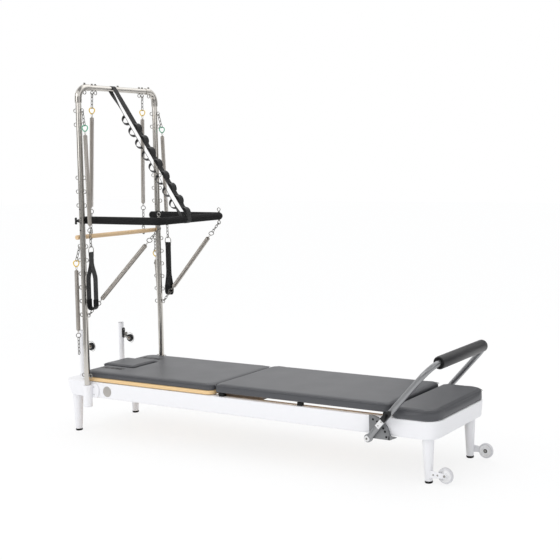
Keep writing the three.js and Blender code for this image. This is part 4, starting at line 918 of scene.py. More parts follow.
class TOWER_OT_mat(Step, bpy.types.Operator):
    """Build the mat insert and the foot platform"""

    bl_idname = "tower.mat"
    bl_label = "Mat insert and platform"

    def build(self, sizes):
        form = Form()
        board(form, (INSERT_START + 10, 2293, 298, (36, 36)), 352.5, 359)
        for x in (1196, 1728, 2262):
            for side, _ in SIDES:
                form.box(at(x, side * 305.5, 333.6), at(x + 30, side * 281, 353.4), "rubber", 1.5)
        for x, wide, half in ((1160, 292, 268), (2069, 160, 190)):
            form.box(at(x, -half, 323), at(x + wide, half, 353.4), "batten", 1.5)
        form.piece("mat_insert_board", "mat_insert", "birch_ply")
        cushion("mat_insert_pad", "mat_insert", INSERT_PLAN, 353, 402, sizes.pad_swell, 0.008)
        piping("mat_insert_piping", "mat_insert", INSERT_PLAN, 393)
        form = Form()
        board(form, (2322, FOOT_FACE - 15, 311, (42, 80)), 334.6, 344.3)
        form.piece("foot_platform_board", "frame", "birch_ply")
        cushion("foot_platform_pad", "frame", PLATFORM_PLAN, 333.6, 393, sizes.pad_swell, 0.006)
        piping("foot_platform_piping", "frame", PLATFORM_PLAN, 381)


class TOWER_OT_carriage(Step, bpy.types.Operator):
    """Build the carriage with its pad, the headrest and the shoulder-rest sockets"""

    bl_idname = "tower.carriage"
    bl_label = "Carriage"

    def build(self, sizes):
        start, end = HEADREST_PLAN[:2]
        form = Form()
        board(form, CARRIAGE_PLAN, 336, 358)
        for x in (285, 1041):
            for side, _ in SIDES:
                form.box(at(x - 13, side * 245.7, 294.3), at(x + 13, side * 235.7, 336.5), "zinc")
        form.piece("carriage_board", "carriage", "birch_ply")
        cuts = [(at(140, -116, 350), at(end + 4, 116, 420))]
        for side, _ in SIDES:
            y = side * SOCKET_Y
            cuts.append((at(190, y - 26, 390.5), at(366, y + 26, 420)))
        cushion("carriage_pad", "carriage", CARRIAGE_PLAN, 358.3, 396.5, sizes.pad_swell, 0.008, cuts)
        self.welt()
        for side, label in SIDES:
            self.socket(side * SOCKET_Y, label)
        form = Form()
        board(form, (start, end, 112, (10, 10)), 360.3, 370.3)
        # A dark strip of painted shadow in the gap under the headrest's foot edge
        form.box(at(end - 1.5, -111, 371), at(end + 1, 111, 380), "dark", 0.5)
        form.piece("headrest_board", "headrest", "birch_ply")
        cushion("headrest_pad", "headrest", HEADREST_PLAN, 370.6, 405, sizes.pad_swell * 0.8, 0.005)
        piping("headrest_piping", "headrest", HEADREST_PLAN, 396, 0.3)
        for end in ("head", "foot"):
            dress(f"roller_axle_{end}", "plastic")

    def welt(self):
        """The piping of the carriage pad, left open at the headrest."""
        z = 388
        form = Form()
        route = [at(155.4, -117, z), *plan_outline(CARRIAGE_PLAN, z, 0.4, 12), at(155.4, 117, z)]
        form.tube(route, PIPING, "piping", 8)
        form.piece("carriage_piping", "carriage", "grey_vinyl")

    def socket(self, y, label):
        """A plate with slots that the shoulder rests plug into."""
        form = Form()
        shift = ACROSS * (y / 1000)
        outline = [point + shift for point in plan_outline((192, 364, 24, (6, 6)), 390.6, 0, 4)]
        form.slab(outline, UP * 0.0048, "insert", 0.8, 2)
        # The slots are flat dark patches: painted shade in place of openings
        for x, wide in ((222, 3), (272, 3), (312, 6), (338, 6)):
            form.box(at(x - wide, y - 13, 395.0), at(x + wide, y + 13, 395.9), "dark", 0)
        for x in (202, 354):
            form.rod(at(x, y, 395), at(x, y, 396.2), 3.2, "zinc", edge=0.4, sides=16)
        form.piece(f"shoulder_socket_{label}", "carriage", "black_plastic")


# Tower
def eyebolt(form, centre, way):
    """A screw eye: a ring with its shank."""
    form.eye(centre)
    foot = centre + way * (EYE_RADIUS / 1000)
    form.rod(foot, foot + way * 0.006, EYE_WIRE, "zinc", sides=12)


class TOWER_OT_posts(Step, bpy.types.Operator):
    """Build the sockets, the posts with their eyes, and the top bar"""

    bl_idname = "tower.posts"
    bl_label = "Posts and top bar"

    def build(self, sizes):
        radius = sizes.post_radius * 1000
        for side, label in SIDES:
            y = side * POST_Y
            self.socket(side, y, label)
            form = Form()
            form.rod(at(POST_X, y, 194.3), at(POST_X, y, 2093.5), radius, "chrome", edge=1, sides=64)
            for z in EYE_ROWS:
                for sense in (-1, 1):
                    form.eye(at(POST_X + sense * EYE_OUT, y, z))
                    foot = at(POST_X + sense * (radius - 1), y, z)
                    form.rod(foot, foot + ALONG * sense * 0.003, 4.6, "zinc", edge=0.6, sides=18)
            # Flat dark discs of painted shade stand for the holes through the post
            for z in (1393, 1266, PUSH_Z):
                for face in (-1, 1):
                    spot = at(POST_X, y + face * (radius - 0.6), z)
                    form.rod(spot, spot + ACROSS * face * 0.0009, 4.5, "dark", sides=20)
            form.piece(f"tower_post_{label}", "frame", "polished_steel")
        self.top_bar(radius)

    def socket(self, side, y, label):
        """A white sleeve with a saddle plate on the rail."""
        form = Form()
        sleeve = [
            (17.9, 10), (17.9, 131.5), (19.5, 132), (26, 132), (27.5, 130.5), (27.5, 1.5), (26, 0), (0, 0),
            (0, 10), (17.9, 10),
        ]
        form.lathe(sleeve, at(POST_X, y, 184), UP, "coat", 64)
        form.rod(at(POST_X, y, 313), at(POST_X, y, 318), 20.5, "cap", end_radius=19, sides=48)
        face = side * (RAIL_Y + 0.3)
        swell = [(272 + 22 * math.sin(a), 281 - 42.5 * math.cos(a)) for a in
                 turns(math.pi / 12, math.pi * 11 / 12, 10)]
        saddle = ((182, 244), (190, 238.5), (272, 238.5), *swell, (272, 324), (190, 324.5), (182, 319))
        form.slab([at(x, face, z) for x, z in saddle], ACROSS * side * 0.007, "coat", 2, 3)
        for z in (258, 304):
            form.rod(at(256, face + side * 6.5, z), at(256, face + side * 9, z), 5, "cap", edge=1, sides=24)
        form.piece(f"tower_socket_{label}", "frame", "white_frame")

    def top_bar(self, radius):
        """The top tube in its two elbow sleeves, with hanging eyebolts."""
        form = Form()
        for side, _ in SIDES:
            y = side * POST_Y
            low, corner = at(POST_X, y, 2036), at(POST_X, y, BAR_Z)
            inner = at(POST_X, side * (POST_Y - 88), BAR_Z)
            form.tube([low, *rounded(low, corner, inner, 68, 16), inner], 20.9, "chrome", 40)
            form.ring(low + UP * 0.002, UP, 19.6, 1.6, "chrome", 48, 8)
            form.ring(inner, ACROSS, 19.4, 1.8, "chrome", 48, 8)
        reach = POST_Y - 82
        form.rod(at(POST_X, -reach, BAR_Z), at(POST_X, reach, BAR_Z), radius, "chrome", sides=64)
        for y in (-288, -226, -197, 0, 197, 226, 288):
            eyebolt(form, at(POST_X, y, HANG_Z), UP)
            top = at(POST_X, y, BAR_Z + (20 if abs(y) > 255 else 16.5))
            form.rod(top, top + UP * 0.002, 8.5, "zinc", edge=0.5, sides=24)
            form.rod(top + UP * 0.0015, top + UP * 0.0085, 6.4, "zinc", edge=0.8, sides=6)
        form.piece("tower_top_bar", "frame", "polished_steel")


def push_route(back):
    """The route of the push-through bar's bent tube."""
    first, last = (at(POST_X - back, side * PUSH_Y, PUSH_Z) for side in (-1, 1))
    near, far = (at(PUSH_X, side * PUSH_Y, PUSH_Z) for side in (-1, 1))
    bends = rounded(first, near, far, PUSH_BEND, 14) + rounded(near, far, last, PUSH_BEND, 14)
    return [first, *bends, last]


def corner_eye(side):
    """The middle of the bar's bent corner."""
    short = PUSH_BEND * (1 - math.sqrt(0.5))
    return at(PUSH_X - short, side * (PUSH_Y - short), PUSH_Z)


class TOWER_OT_push_bar(Step, bpy.types.Operator):
    """Build the push-through bar, its foam, its pivot knobs and its looped strap"""

    bl_idname = "tower.push_bar"
    bl_label = "Push-through bar"

    def build(self, sizes):
        form = Form()
        form.tube(push_route(12), 12.8, "zinc", 28)
        for side, _ in SIDES:
            middle = corner_eye(side)
            for way in (-UP, UP):
                form.eye(middle + way * CORNER_EYE)
                form.rod(middle, middle + way * 0.031, 3.6, "zinc", sides=16)
                form.rod(middle + way * 0.0225, middle + way * 0.0245, 8.5, "zinc", edge=0.5, sides=24)
                form.rod(middle + way * 0.024, middle + way * 0.0275, 6.2, "zinc", edge=0.6, sides=6)
        form.piece("push_bar_tube", "push_bar", "polished_steel")
        foam = Form()
        foam.tube(push_route(11), sizes.foam_radius * 1000, "foam", 40)
        cap = [(23, 0), (22.6, 2.5), (21, 4.8), (18, 6), (13.2, 6), (13.2, 0)]
        for side, _ in SIDES:
            foam.lathe(cap, at(POST_X - 11, side * PUSH_Y, PUSH_Z), -ALONG, "foam", 40)
        foam.piece("push_bar_foam", "push_bar", "black_foam")
        for side, label in SIDES:
            self.knob(side, label)
        self.strap()

    def knob(self, side, label):
        """A T-handled pin that the bar turns on."""
        form = Form()
        y = side * 360.8
        out = y + side * 34
        collar = [(0, 0), (11.8, 0), (12, 1), (12, 9), (10.5, 14), (8.5, 18), (0, 18)]
        handle = [
            (0, 0), (4.5, 0.5), (6.6, 3), (7, 8), (6.2, 15), (6, 21), (6.2, 27), (7, 34), (6.6, 39),
            (4.5, 41.5), (0, 42),
        ]

        def spot(across):
            return at(POST_X, across, PUSH_Z)

        form.rod(spot(side * 299.5), spot(y + side * 16), 6, "zinc", edge=0.8, sides=24)
        form.lathe(collar, spot(y), ACROSS * side, "zinc")
        form.rod(spot(y + side * 16), spot(out), 6.8, "plastic", edge=1, sides=28)
        form.lathe(handle, at(POST_X, out, PUSH_Z - 21), UP, "plastic", 32)
        form.piece(f"pivot_knob_{label}", f"knob_{label}", "black_plastic")

    def strap(self):
        """A belt of webbing round both bars, with sewn loops along both runs."""
        start, end = at(POST_X, STRAP_Y, BAR_Z), at(PUSH_X, STRAP_Y, PUSH_Z)
        along = end - start
        span = along.length
        along.normalize()
        across = Vector((-along.z, 0, along.x))
        band = 1.25
        near, far = 18 + band, 23.5 + band
        tangent = math.acos((near - far) / 1000 / span)
        flat = ACROSS * 0.038

        def outward(angle):
            return along * math.cos(angle) + across * math.sin(angle)

        length = math.sqrt(span ** 2 - ((near - far) / 1000) ** 2)
        runs = {}
        for side, turn in ((-1, 35), (1, 6)):
            out = outward(side * tangent)
            run = Vector((out.z, 0, -out.x)) * (1 if out.z * along.x - out.x * along.z > 0 else -1)
            runs[side] = (out, run, math.radians(turn), start + out * near / 1000)

        def twist(side, place):
            """The strap's width and its outward side, turned between the two bars."""
            out, run, turn, _ = runs[side]
            share = max(0.0, min(1.0, place / 0.16, (length - place) / 0.16))
            turned = Matrix.Rotation(turn * math.sin(share * math.pi / 2) ** 2, 3, run * side)
            return turned @ flat, turned @ out

        route, widths = [], []
        bars = ((start, near, 2 * math.pi - tangent, tangent, 1), (end, far, tangent, -tangent, -1))
        for centre, radius, first, last, side in bars:
            for angle in turns(first, last, 16):
                route.append(centre + outward(angle) * radius / 1000)
                widths.append(flat)
            _, run, _, begin = runs[side]
            stops = [step / 24 for step in range(1, 24)]
            for share in stops if side > 0 else reversed(stops):
                route.append(begin.lerp(begin + run * length, share))
                widths.append(twist(side, share * length)[0])
        form = Form()
        form.ribbon(route, widths, 2.4, "strap", True)
        for side, first, rise in ((-1, 225, 26), (1, 314, 18.6)):
            _, run, _, begin = runs[side]
            for index in range(8):
                middle = (first + 90 * index) / 1000
                width, away = twist(side, middle)
                base = begin + run * middle + away * band / 1000
                loop = []
                for angle in turns(0, math.pi, 14):
                    bulge = 1 - 0.18 * math.sin(angle) ** 2
                    reach = -0.029 * math.cos(angle) * bulge
                    loop.append(base + run * reach + away * (rise / 1000 * math.sin(angle)))
                form.ribbon(loop, width, 2.0, "strap")
                for sense in (-1, 1):
                    seam = base + run * sense * 0.031
                    form.ribbon([seam - run * 0.004, seam + run * 0.004], width * 0.98, 1.4, "strap")
        ends = at(POST_X, STRAP_Y, BAR_Z - 60), at(PUSH_X - 25, STRAP_Y, PUSH_Z + 30)
        form.piece("loop_strap", ("frame", "push_bar", *ends), "black_webbing")


# Springs
def coil_route(start, end, radius, curls):
    """A helix whose first and last curls draw in to the middle line."""
    steps, taper, lead = 12, 3.0, 0.004
    along = (end - start).normalized()
    across = along.cross(ACROSS).normalized()
    up = across.cross(along).normalized()
    run = (end - start).length - 2 * lead
    count = int(curls * steps)
    route = [start]
    for step in range(count + 1):
        turn = step / steps
        share = min(1.0, (turn + 0.4) / taper, (curls - turn + 0.4) / taper)
        reach = radius * math.sin(share * math.pi / 2)
        angle = 2 * math.pi * turn
        centre = start + along * (lead + run * step / count)
        route.append(centre + across * reach * math.cos(angle) + up * reach * math.sin(angle))
    return [*route, end]


def square_to(sideways, along):
    """The direction nearest to sideways that is square to along."""
    return (sideways - along * sideways.dot(along)).normalized()


def hook_route(start, end, half, sideways):
    """A closed loop of wire, longer than wide, between two places."""
    along = (end - start).normalized()
    across = square_to(sideways, along)
    points = []
    for place, sense in ((start, -1), (end, 1)):
        centre = place - along * sense * half / 1000
        for angle in turns(0, math.pi, 12):
            reach = across * math.cos(angle) + along * math.sin(angle)
            points.append(centre + reach * sense * half / 1000)
    return points


def wire_loop(form, start, end, half, sideways):
    """A loop at a coil's end."""
    form.tube(hook_route(start, end, half, sideways), 1.5, "wire", 8, True)


def chain(form, start, end, sideways):
    """Short links from the eye on, the first with a snap gate."""
    pitch, half = 21, 6.5
    run = end - start
    along = run.normalized()
    count = max(1, round(run.length * 1000 / pitch))
    step = run / count
    planes = sideways, along.cross(sideways)
    reach = along * 0.0015
    for index in range(count):
        low, high = start + step * index, start + step * (index + 1)
        form.tube(hook_route(low - reach, high + reach, half, planes[index % 2]), 2.0, "link", 10, True)
    gate = start + along * 0.004 + square_to(sideways, along) * (half / 1000)
    form.rod(gate, gate + along * min(0.014, step.length * 0.6), 2.9, "link", edge=0.5, sides=14)


def teardrop(form, centre, along, sideways, finish):
    """A coated ring, round above and drawn to a point below."""
    across = square_to(sideways, along)
    points = []
    for angle in turns(0, 2 * math.pi, 36)[:-1]:
        width = 15.5 * math.sin(angle) * (1 - 0.3 * math.cos(angle))
        drop = 18.6 * math.cos(angle)
        points.append(centre + across * width / 1000 + along * drop / 1000)
    form.tube(points, 3.0, finish, 12, True)


def hook_spot(eye, towards):
    """Where a hook's end lies in an eye, on the side it is pulled to."""
    pull = towards - eye
    pull.y = 0
    return eye + pull.normalized() * HOOK_HANG


def hung_spring(eye, tag, low, run, finish, sizes, low_side):
    """A spring at rest: chain, coloured ring, tapered coil, ring and chain."""
    form = Form()
    along = (low - tag).normalized()
    plane = along.cross(ACROSS)
    chain(form, hook_spot(eye, tag), tag - along * 0.0165, ACROSS)
    teardrop(form, tag, along, FACING, finish)
    start = tag + along * 0.0165
    body = start + along * 0.017
    end = body + along * run / 1000
    curls = sizes.closed_curls * run / ARM_SPRING
    wire_loop(form, start - along * 0.003, body + along * 0.002, 5.4, plane)
    form.tube(coil_route(body, end, sizes.closed_radius, curls), sizes.spring_wire * 1000, "wire", 6)
    loop = end + along * 0.012
    wire_loop(form, end - along * 0.002, loop, 5.0, plane)
    form.ring(loop + along * 0.0115, along.cross(FACING), 13.5, 2.2, "link", 32, 10)
    chain(form, low, loop + along * 0.0235, low_side)
    return form


def push_spring(side, sizes):
    """A stretched spring between the post's eye and the bar's corner."""
    form = Form()
    eye = at(POST_X + EYE_OUT, side * POST_Y, 748)
    bar_eye = corner_eye(side) - UP * CORNER_EYE
    low, high = hook_spot(eye, bar_eye), hook_spot(bar_eye, eye)
    along = (high - low).normalized()
    bodies = []
    for hook, way, reach in ((low, along, 0.1), (high, -along, 0.095)):
        ring = hook + way * reach
        body = ring + way * 0.034
        chain(form, hook, ring - way * 0.014, ACROSS)
        form.ring(ring, along.cross(FACING), 15, 2.3, "link", 32, 10)
        wire_loop(form, ring + way * 0.0125, body + way * 0.002, 5.4, ACROSS)
        bodies.append(body)
    form.tube(coil_route(*bodies, sizes.open_radius, sizes.open_curls), sizes.spring_wire * 1000, "wire", 6)
    return form


class TOWER_OT_springs(Step, bpy.types.Operator):
    """Build the springs, their hooks and coloured rings, and the roll-down bar"""

    bl_idname = "tower.springs"
    bl_label = "Springs and roll-down bar"

    def build(self, sizes):
        self.roll_down_bar()
        for side, label in SIDES:
            eye = at(POST_X, side * 226, HANG_Z)
            low = hook_spot(at(DOWEL_X, side * DOWEL_EYE_Y, DOWEL_EYE_Z), eye)
            form = hung_spring(eye, eye.lerp(low, 0.13), low, 560, "yellow", sizes, ACROSS)
            form.piece(f"roll_down_spring_{label}", "roll_down", "spring_wire")

            eye = at(POST_X + EYE_OUT, side * POST_Y, 1988)
            tag = at(275 if side < 0 else 270, side * 352, 1880)
            ring = at(HANDLES[label][0], side * HANDLE_Y, HANDLE_Z)
            low = ring + (tag - ring).normalized() * 0.0192
            low_side = ALONG if side < 0 else ACROSS
            form = hung_spring(eye, tag, low, ARM_SPRING, "green", sizes, low_side)
            stretch = f"arm_spring_{label}", f"handle_{label}", tag - UP * 0.03, low + UP * 0.11
            form.piece(f"arm_spring_{label}", stretch, "spring_wire")

            eye = at(POST_X - EYE_OUT, side * POST_Y, 1168)
            low = at(178, -362, 506) if side < 0 else at(200, 378, 506)
            form = hung_spring(eye, at(178, side * 362, 1062), low, 382, "yellow", sizes, ACROSS)
            form.piece(f"leg_spring_{label}", f"leg_spring_{label}", "spring_wire")

            top = corner_eye(side) - Vector((0.03, 0, 0.075))
            stretch = "frame", "push_bar", at(275, side * 340, 775), top
            push_spring(side, sizes).piece(f"push_spring_{label}", stretch, "spring_wire")

    def roll_down_bar(self):
        """A wooden dowel with two eyebolts."""
        form = Form()
        dowel = [(0, 0), (10, 0), (13, 1.2), (14, 4), (14, 722), (13, 724.8), (10, 726), (0, 726)]
        form.lathe(dowel, at(DOWEL_X, -363, 1222), ACROSS, "dowel")
        for side, _ in SIDES:
            y = side * DOWEL_EYE_Y
            eyebolt(form, at(DOWEL_X, y, DOWEL_EYE_Z), -UP)
            form.rod(at(DOWEL_X, y, 1209.5), at(DOWEL_X, y, 1207), 8, "zinc", edge=0.5, sides=24)
            form.rod(at(DOWEL_X, y, 1207.5), at(DOWEL_X, y, 1200.5), 6.4, "zinc", edge=0.8, sides=6)
        form.piece("roll_down_bar", "roll_down", "birch_ply")


def hand_loop(x, y, turn, half, seams):
    """A D-ring, a doubled strap with box stitching, and a padded loop; turn 0 faces the long side."""
    form = Form()
    centre = at(x, y, HANDLE_Z)

    def spot(across, depth, drop):
        place = Matrix.Rotation(turn, 3, "Z") @ Vector((across / 1000, depth / 1000, 0))
        return centre + place + Vector((0, 0, -drop / 1000))

    def round_end(reach, low, rise, steps):
        return [spot(-reach * math.cos(a), 0, low + rise * math.sin(a)) for a in turns(0, math.pi, steps)]

    ring = [spot(0, 24 * math.cos(a), -24 * math.sin(a)) for a in turns(0, math.pi, 12)]
    ring += [spot(0, -24, 12), spot(0, -22.5, 14), spot(0, 22.5, 14), spot(0, 24, 12)]
    form.tube(ring, 2.5, "zinc", 10, True)
    width = spot(0, 42, 0) - spot(0, 0, 0)
    crest = (
        (-3.6, 30), (-3.6, 18), (-3, 13), (-1.6, 10.6), (0, 10), (1.6, 10.6), (3, 13), (3.6, 18), (3.6, 30),
    )
    top = [spot(across, 0, drop) for across, drop in crest]
    left, right = [], []
    opens = seams[-1] + 8
    for share in turns(0, 1, 24)[1:]:
        drop = 30 + 300 * share
        opened = min(1.0, max(0.0, (drop - opens) / 110))
        spread = 2.2 + (half - 2.2) * opened * opened * (3 - 2 * opened)
        left.append(spot(-spread, 0, drop))
        right.append(spot(spread, 0, drop))
    bottom = round_end(half, 338, 23, 10)
    form.ribbon([*reversed(left), *top, *right, *reversed(bottom)], width, 2.6, "strap", True)
    reach = half + 0.6
    pad = [spot(-reach, 0, 296), *round_end(reach, 334, 25.5, 12), spot(reach, 0, 296)]
    form.ribbon(pad, width * 1.04, 6.5, "foam")
    for drop in seams:
        form.box(spot(-4.4, -19.5, drop + 7), spot(4.4, 19.5, drop - 7), "strap", 0.8)
    return form


class TOWER_OT_handles(Step, bpy.types.Operator):
    """Build the two hand loops that hang from the arm springs"""

    bl_idname = "tower.handles"
    bl_label = "Hand loops"

    def build(self, sizes):
        for side, label in SIDES:
            x, turn, half, seams = HANDLES[label]
            form = hand_loop(x, side * HANDLE_Y, turn, half, seams)
            form.piece(f"arm_handle_{label}", f"handle_{label}", "black_webbing")


# Risers and pulleys
class TOWER_OT_pulleys(Step, bpy.types.Operator):
    """Build the rope risers and their swivel pulleys"""

    bl_idname = "tower.pulleys"
    bl_label = "Risers and pulleys"

    def build(self, sizes):
        cap = [(0, 0), (16.8, 0), (17, 1), (17, 3), (15, 5), (8, 6), (0, 6)]
        collar = [(17.2, 0), (21, 0), (21, 3), (18.5, 5), (17.2, 5)]
        for side, label in SIDES:
            y = side * RISER_Y
            form = Form()
            form.rod(at(RISER_X, y, 333.3), at(RISER_X, y, 617), 17, "coat", sides=48)
            form.lathe(cap, at(RISER_X, y, 614), UP, "cap")
            form.lathe(collar, at(RISER_X, y, 333.3), UP, "coat")
            outline = []
            for a in turns(math.pi / 32, math.pi * 63 / 32, 31):
                lift = 23 if math.sin(a) >= 0 else -23
                outline.append(at(39, y + 11 * math.cos(a), SWIVEL_Z + lift + 11 * math.sin(a)))
            form.slab(outline, ALONG * 0.0095, "plastic", 1.6, 3)
            for z in (526, 572):
                form.rod(at(48.3, y, z), at(49.6, y, z), 4.6, "zinc", edge=0.5, sides=20)
            form.rod(at(48, y, SWIVEL_Z), at(54.8, y, SWIVEL_Z), 5.8, "zinc", edge=0.8, sides=24)
            form.piece(f"riser_{label}", "frame", "white_frame")
            self.block(y, label)
            self.sheave(y, label)

    def block(self, y, label):
        """The swivel, its cheeks and the wire guard round the wheel."""
        x, z = SHEAVE
        form = Form()
        form.rod(at(55.3, y, SWIVEL_Z), at(65, y, SWIVEL_Z), 4.4, "zinc", edge=0.8, sides=20)
        form.box(at(63, y - 10.4, 523), at(69, y + 10.4, 555), "zinc", 1.5)
        for sense in (-1, 1):
            face = y + sense * 7.6
            nose = upright_arc(x, face, z, 12, turns(-math.pi * 0.5, math.pi * 0.3, 8))
            outline = [at(63, face, 523.5), at(90, face, 508), *nose, at(92, face, 530), at(63, face, 535)]
            form.slab(outline, ACROSS * sense * 0.0026, "zinc", 0.8, 2)
            bush = at(x, face + sense * 2, z)
            form.rod(bush, bush + ACROSS * sense * 0.0024, 5.5, "bronze", edge=0.8, sides=24)
        form.rod(at(x, y - 8, z), at(x, y + 8, z), 4, "zinc", sides=20)
        guard = upright_arc(x, y, z, 33, turns(math.radians(88), math.radians(-62), 20))
        form.tube([at(78, y, 546), *guard, at(96, y, 492)], 1.4, "zinc", 8)
        form.piece(f"pulley_block_{label}", f"pulley_block_{label}", "polished_steel")

    def sheave(self, y, label):
        """A grooved wheel on a bronze bush."""
        x, z = SHEAVE
        form = Form()
        groove = mirrored((9, 4.5), (19, 4.5), (21, 6.3), (23.6, 6.3), (24, 5.6), (19.6, 1.8), (19, 0))
        form.lathe(groove, at(x, y, z), ACROSS, "plastic")
        form.lathe(mirrored((4.7, 6), (9.2, 6)), at(x, y, z), ACROSS, "bronze")
        form.piece(f"pulley_wheel_{label}", f"pulley_wheel_{label}", "black_plastic")


# Footbar
class TOWER_OT_footbar(Step, bpy.types.Operator):
    """Build the footbar, its grip, the quadrants and the latches"""

    bl_idname = "tower.footbar"
    bl_label = "Footbar"

    def build(self, sizes):
        for side, label in SIDES:
            self.quadrant(side, label)
            self.latch(side, label)
        self.bar()
        self.grip(sizes.grip_radius * 1000)

    def quadrant(self, side, label):
        """A quarter disc with pin holes, a flange back to the rail and a tail."""
        form = Form()
        px, pz = FOOT_PIVOT
        face = side * 334
        quarter = turns(0, math.pi / 2, 24)
        disc = [
            at(px - 3, face, pz - 3), at(px + 120, face, pz - 3),
            *upright_arc(px, face, pz, 120, quarter), at(px - 3, face, pz + 120),
        ]
        form.slab(disc, ACROSS * side * 0.006, "quadrant", 1.2, 2)
        flange = upright_arc(px, side * 327.8, pz, 117, quarter)
        form.ribbon(flange, ACROSS * side * 0.0128, 5.5, "quadrant")
        tail = [at(px + reach, face, pz + rise) for reach, rise in
                ((108, -3), (119, -3), (158, 14), (159, 17), (112, 22))]
        form.slab(tail, ACROSS * side * 0.006, "quadrant", 1.2, 2)
        # The pin holes are thin dark discs of painted shade
        holes = [math.radians(degrees) for degrees in (7, 23.5, 34.7, 47.6, 62, 77.5)]
        for hole in upright_arc(px, side * 339.7, pz, 100, holes):
            form.rod(hole, hole + ACROSS * side * 0.00045, 6.2, "dark", sides=24)
        form.rod(at(px, side * 321.3, pz), at(px, side * 340.6, pz), 14, "quadrant", edge=1)
        form.rod(at(px, side * 340, pz), at(px, side * 373.6, pz), 6, "zinc", sides=24)
        form.piece(f"footbar_bracket_{label}", "frame", "satin_alloy")

    def bar(self):
        """The bent tube with its pivot bosses and white latch plates."""
        form = Form()
        near, far = arm_point(GRIP_REACH, -ARM_Y), arm_point(GRIP_REACH, ARM_Y)
        first, last = arm_point(14, -ARM_Y), arm_point(14, ARM_Y)
        bends = rounded(first, near, far, 92, 18) + rounded(near, far, last, 92, 18)
        form.tube([first, *bends, last], 15.9, "alloy", 40)
        boss = [
            (6.6, -16), (13, -16), (14.6, -14.5), (15, -12), (15, 12), (14.4, 15.5), (12, 17), (6.6, 17),
            (6.6, -16),
        ]
        for side, _ in SIDES:
            pivot = at(FOOT_PIVOT[0], side * ARM_Y, FOOT_PIVOT[1])
            way = ACROSS * side
            form.lathe(boss, pivot, way, "plate")
            form.rod(pivot + way * 0.0165, pivot + way * 0.0175, 6.8, "zinc", edge=0.4, sides=24)
            # A dark hexagon of painted shade stands for the bolt's socket
            form.rod(pivot + way * 0.0172, pivot + way * 0.0177, 2.6, "dark", sides=6)
            form.rod(pivot - way * 0.016, pivot + way * 0.006, 22, "alloy", edge=2)
            outer = side * (ARM_Y + 15)
            corners = ((-27, -14), (27, -14), (27, 14), (-27, 14))
            outline = [arm_point(PLATE_REACH + reach, outer, lift) for reach, lift in corners]
            form.slab(outline, way * 0.0035, "plate", 1.2, 2)
            for reach in (-14, 14):
                spot = arm_point(PLATE_REACH + reach, outer + side * 3)
                form.rod(spot, spot + way * 0.0014, 3.6, "zinc", edge=0.5, sides=24)
        form.piece("footbar_tube", "footbar", "satin_alloy")

    def grip(self, radius):
        """A padded sleeve with a lengthwise seam and open foam ends."""
        form = Form()
        centre = arm_point(GRIP_REACH, 0)
        sleeve = [
            (radius - 5, -275), (radius - 2, -274.4), (radius, -271), (radius, 271), (radius - 2, 274.4),
            (radius - 5, 275), (radius - 6, 273), (radius - 6, -273), (radius - 5, -275),
        ]
        form.lathe(sleeve, centre, ACROSS, "sleeve", 56)
        plug = [(17, 0), (17, 3), (20.4, 2.2), (radius - 5, 0.6), (radius - 5.5, -2), (17, -2)]
        for way in (-ACROSS, ACROSS):
            form.lathe(plug, centre + way * 0.2712, way, "foam")
        angle = math.radians(112)
        seam = centre + (ALONG * math.cos(angle) + UP * math.sin(angle)) * (radius / 1000)
        form.tube([seam - ACROSS * 0.27, seam + ACROSS * 0.27], 0.8, "seam", 8)
        form.piece("footbar_grip", "footbar", "grip_sleeve")

    def latch(self, side, label):
        """A black spring latch on the outside of the arm, with its pin."""
        form = Form()
        y = side * 373.3
        body = ((-33, -13), (-30, -16), (24, -16), (33, -8), (33, 8), (24, 16), (-30, 16), (-33, 13))
        ridge = ((-18, -11), (18, -11), (18, 11), (-18, 11))
        for corners, rise, thick, edge, segments in ((body, 0, 0.014, 2.2, 3), (ridge, 13.4, 0.0006, 0.3, 2)):
            outline = [arm_point(LATCH_REACH + reach, y + side * rise, lift) for reach, lift in corners]
            form.slab(outline, ACROSS * side * thick, "plastic", edge, segments)
        pin = arm_point(LATCH_REACH, side * 341.2), arm_point(LATCH_REACH, side * 375)
        form.rod(*pin, 4.5, "zinc", edge=0.6, sides=20)
        form.piece(f"footbar_latch_{label}", f"latch_{label}", "black_plastic")


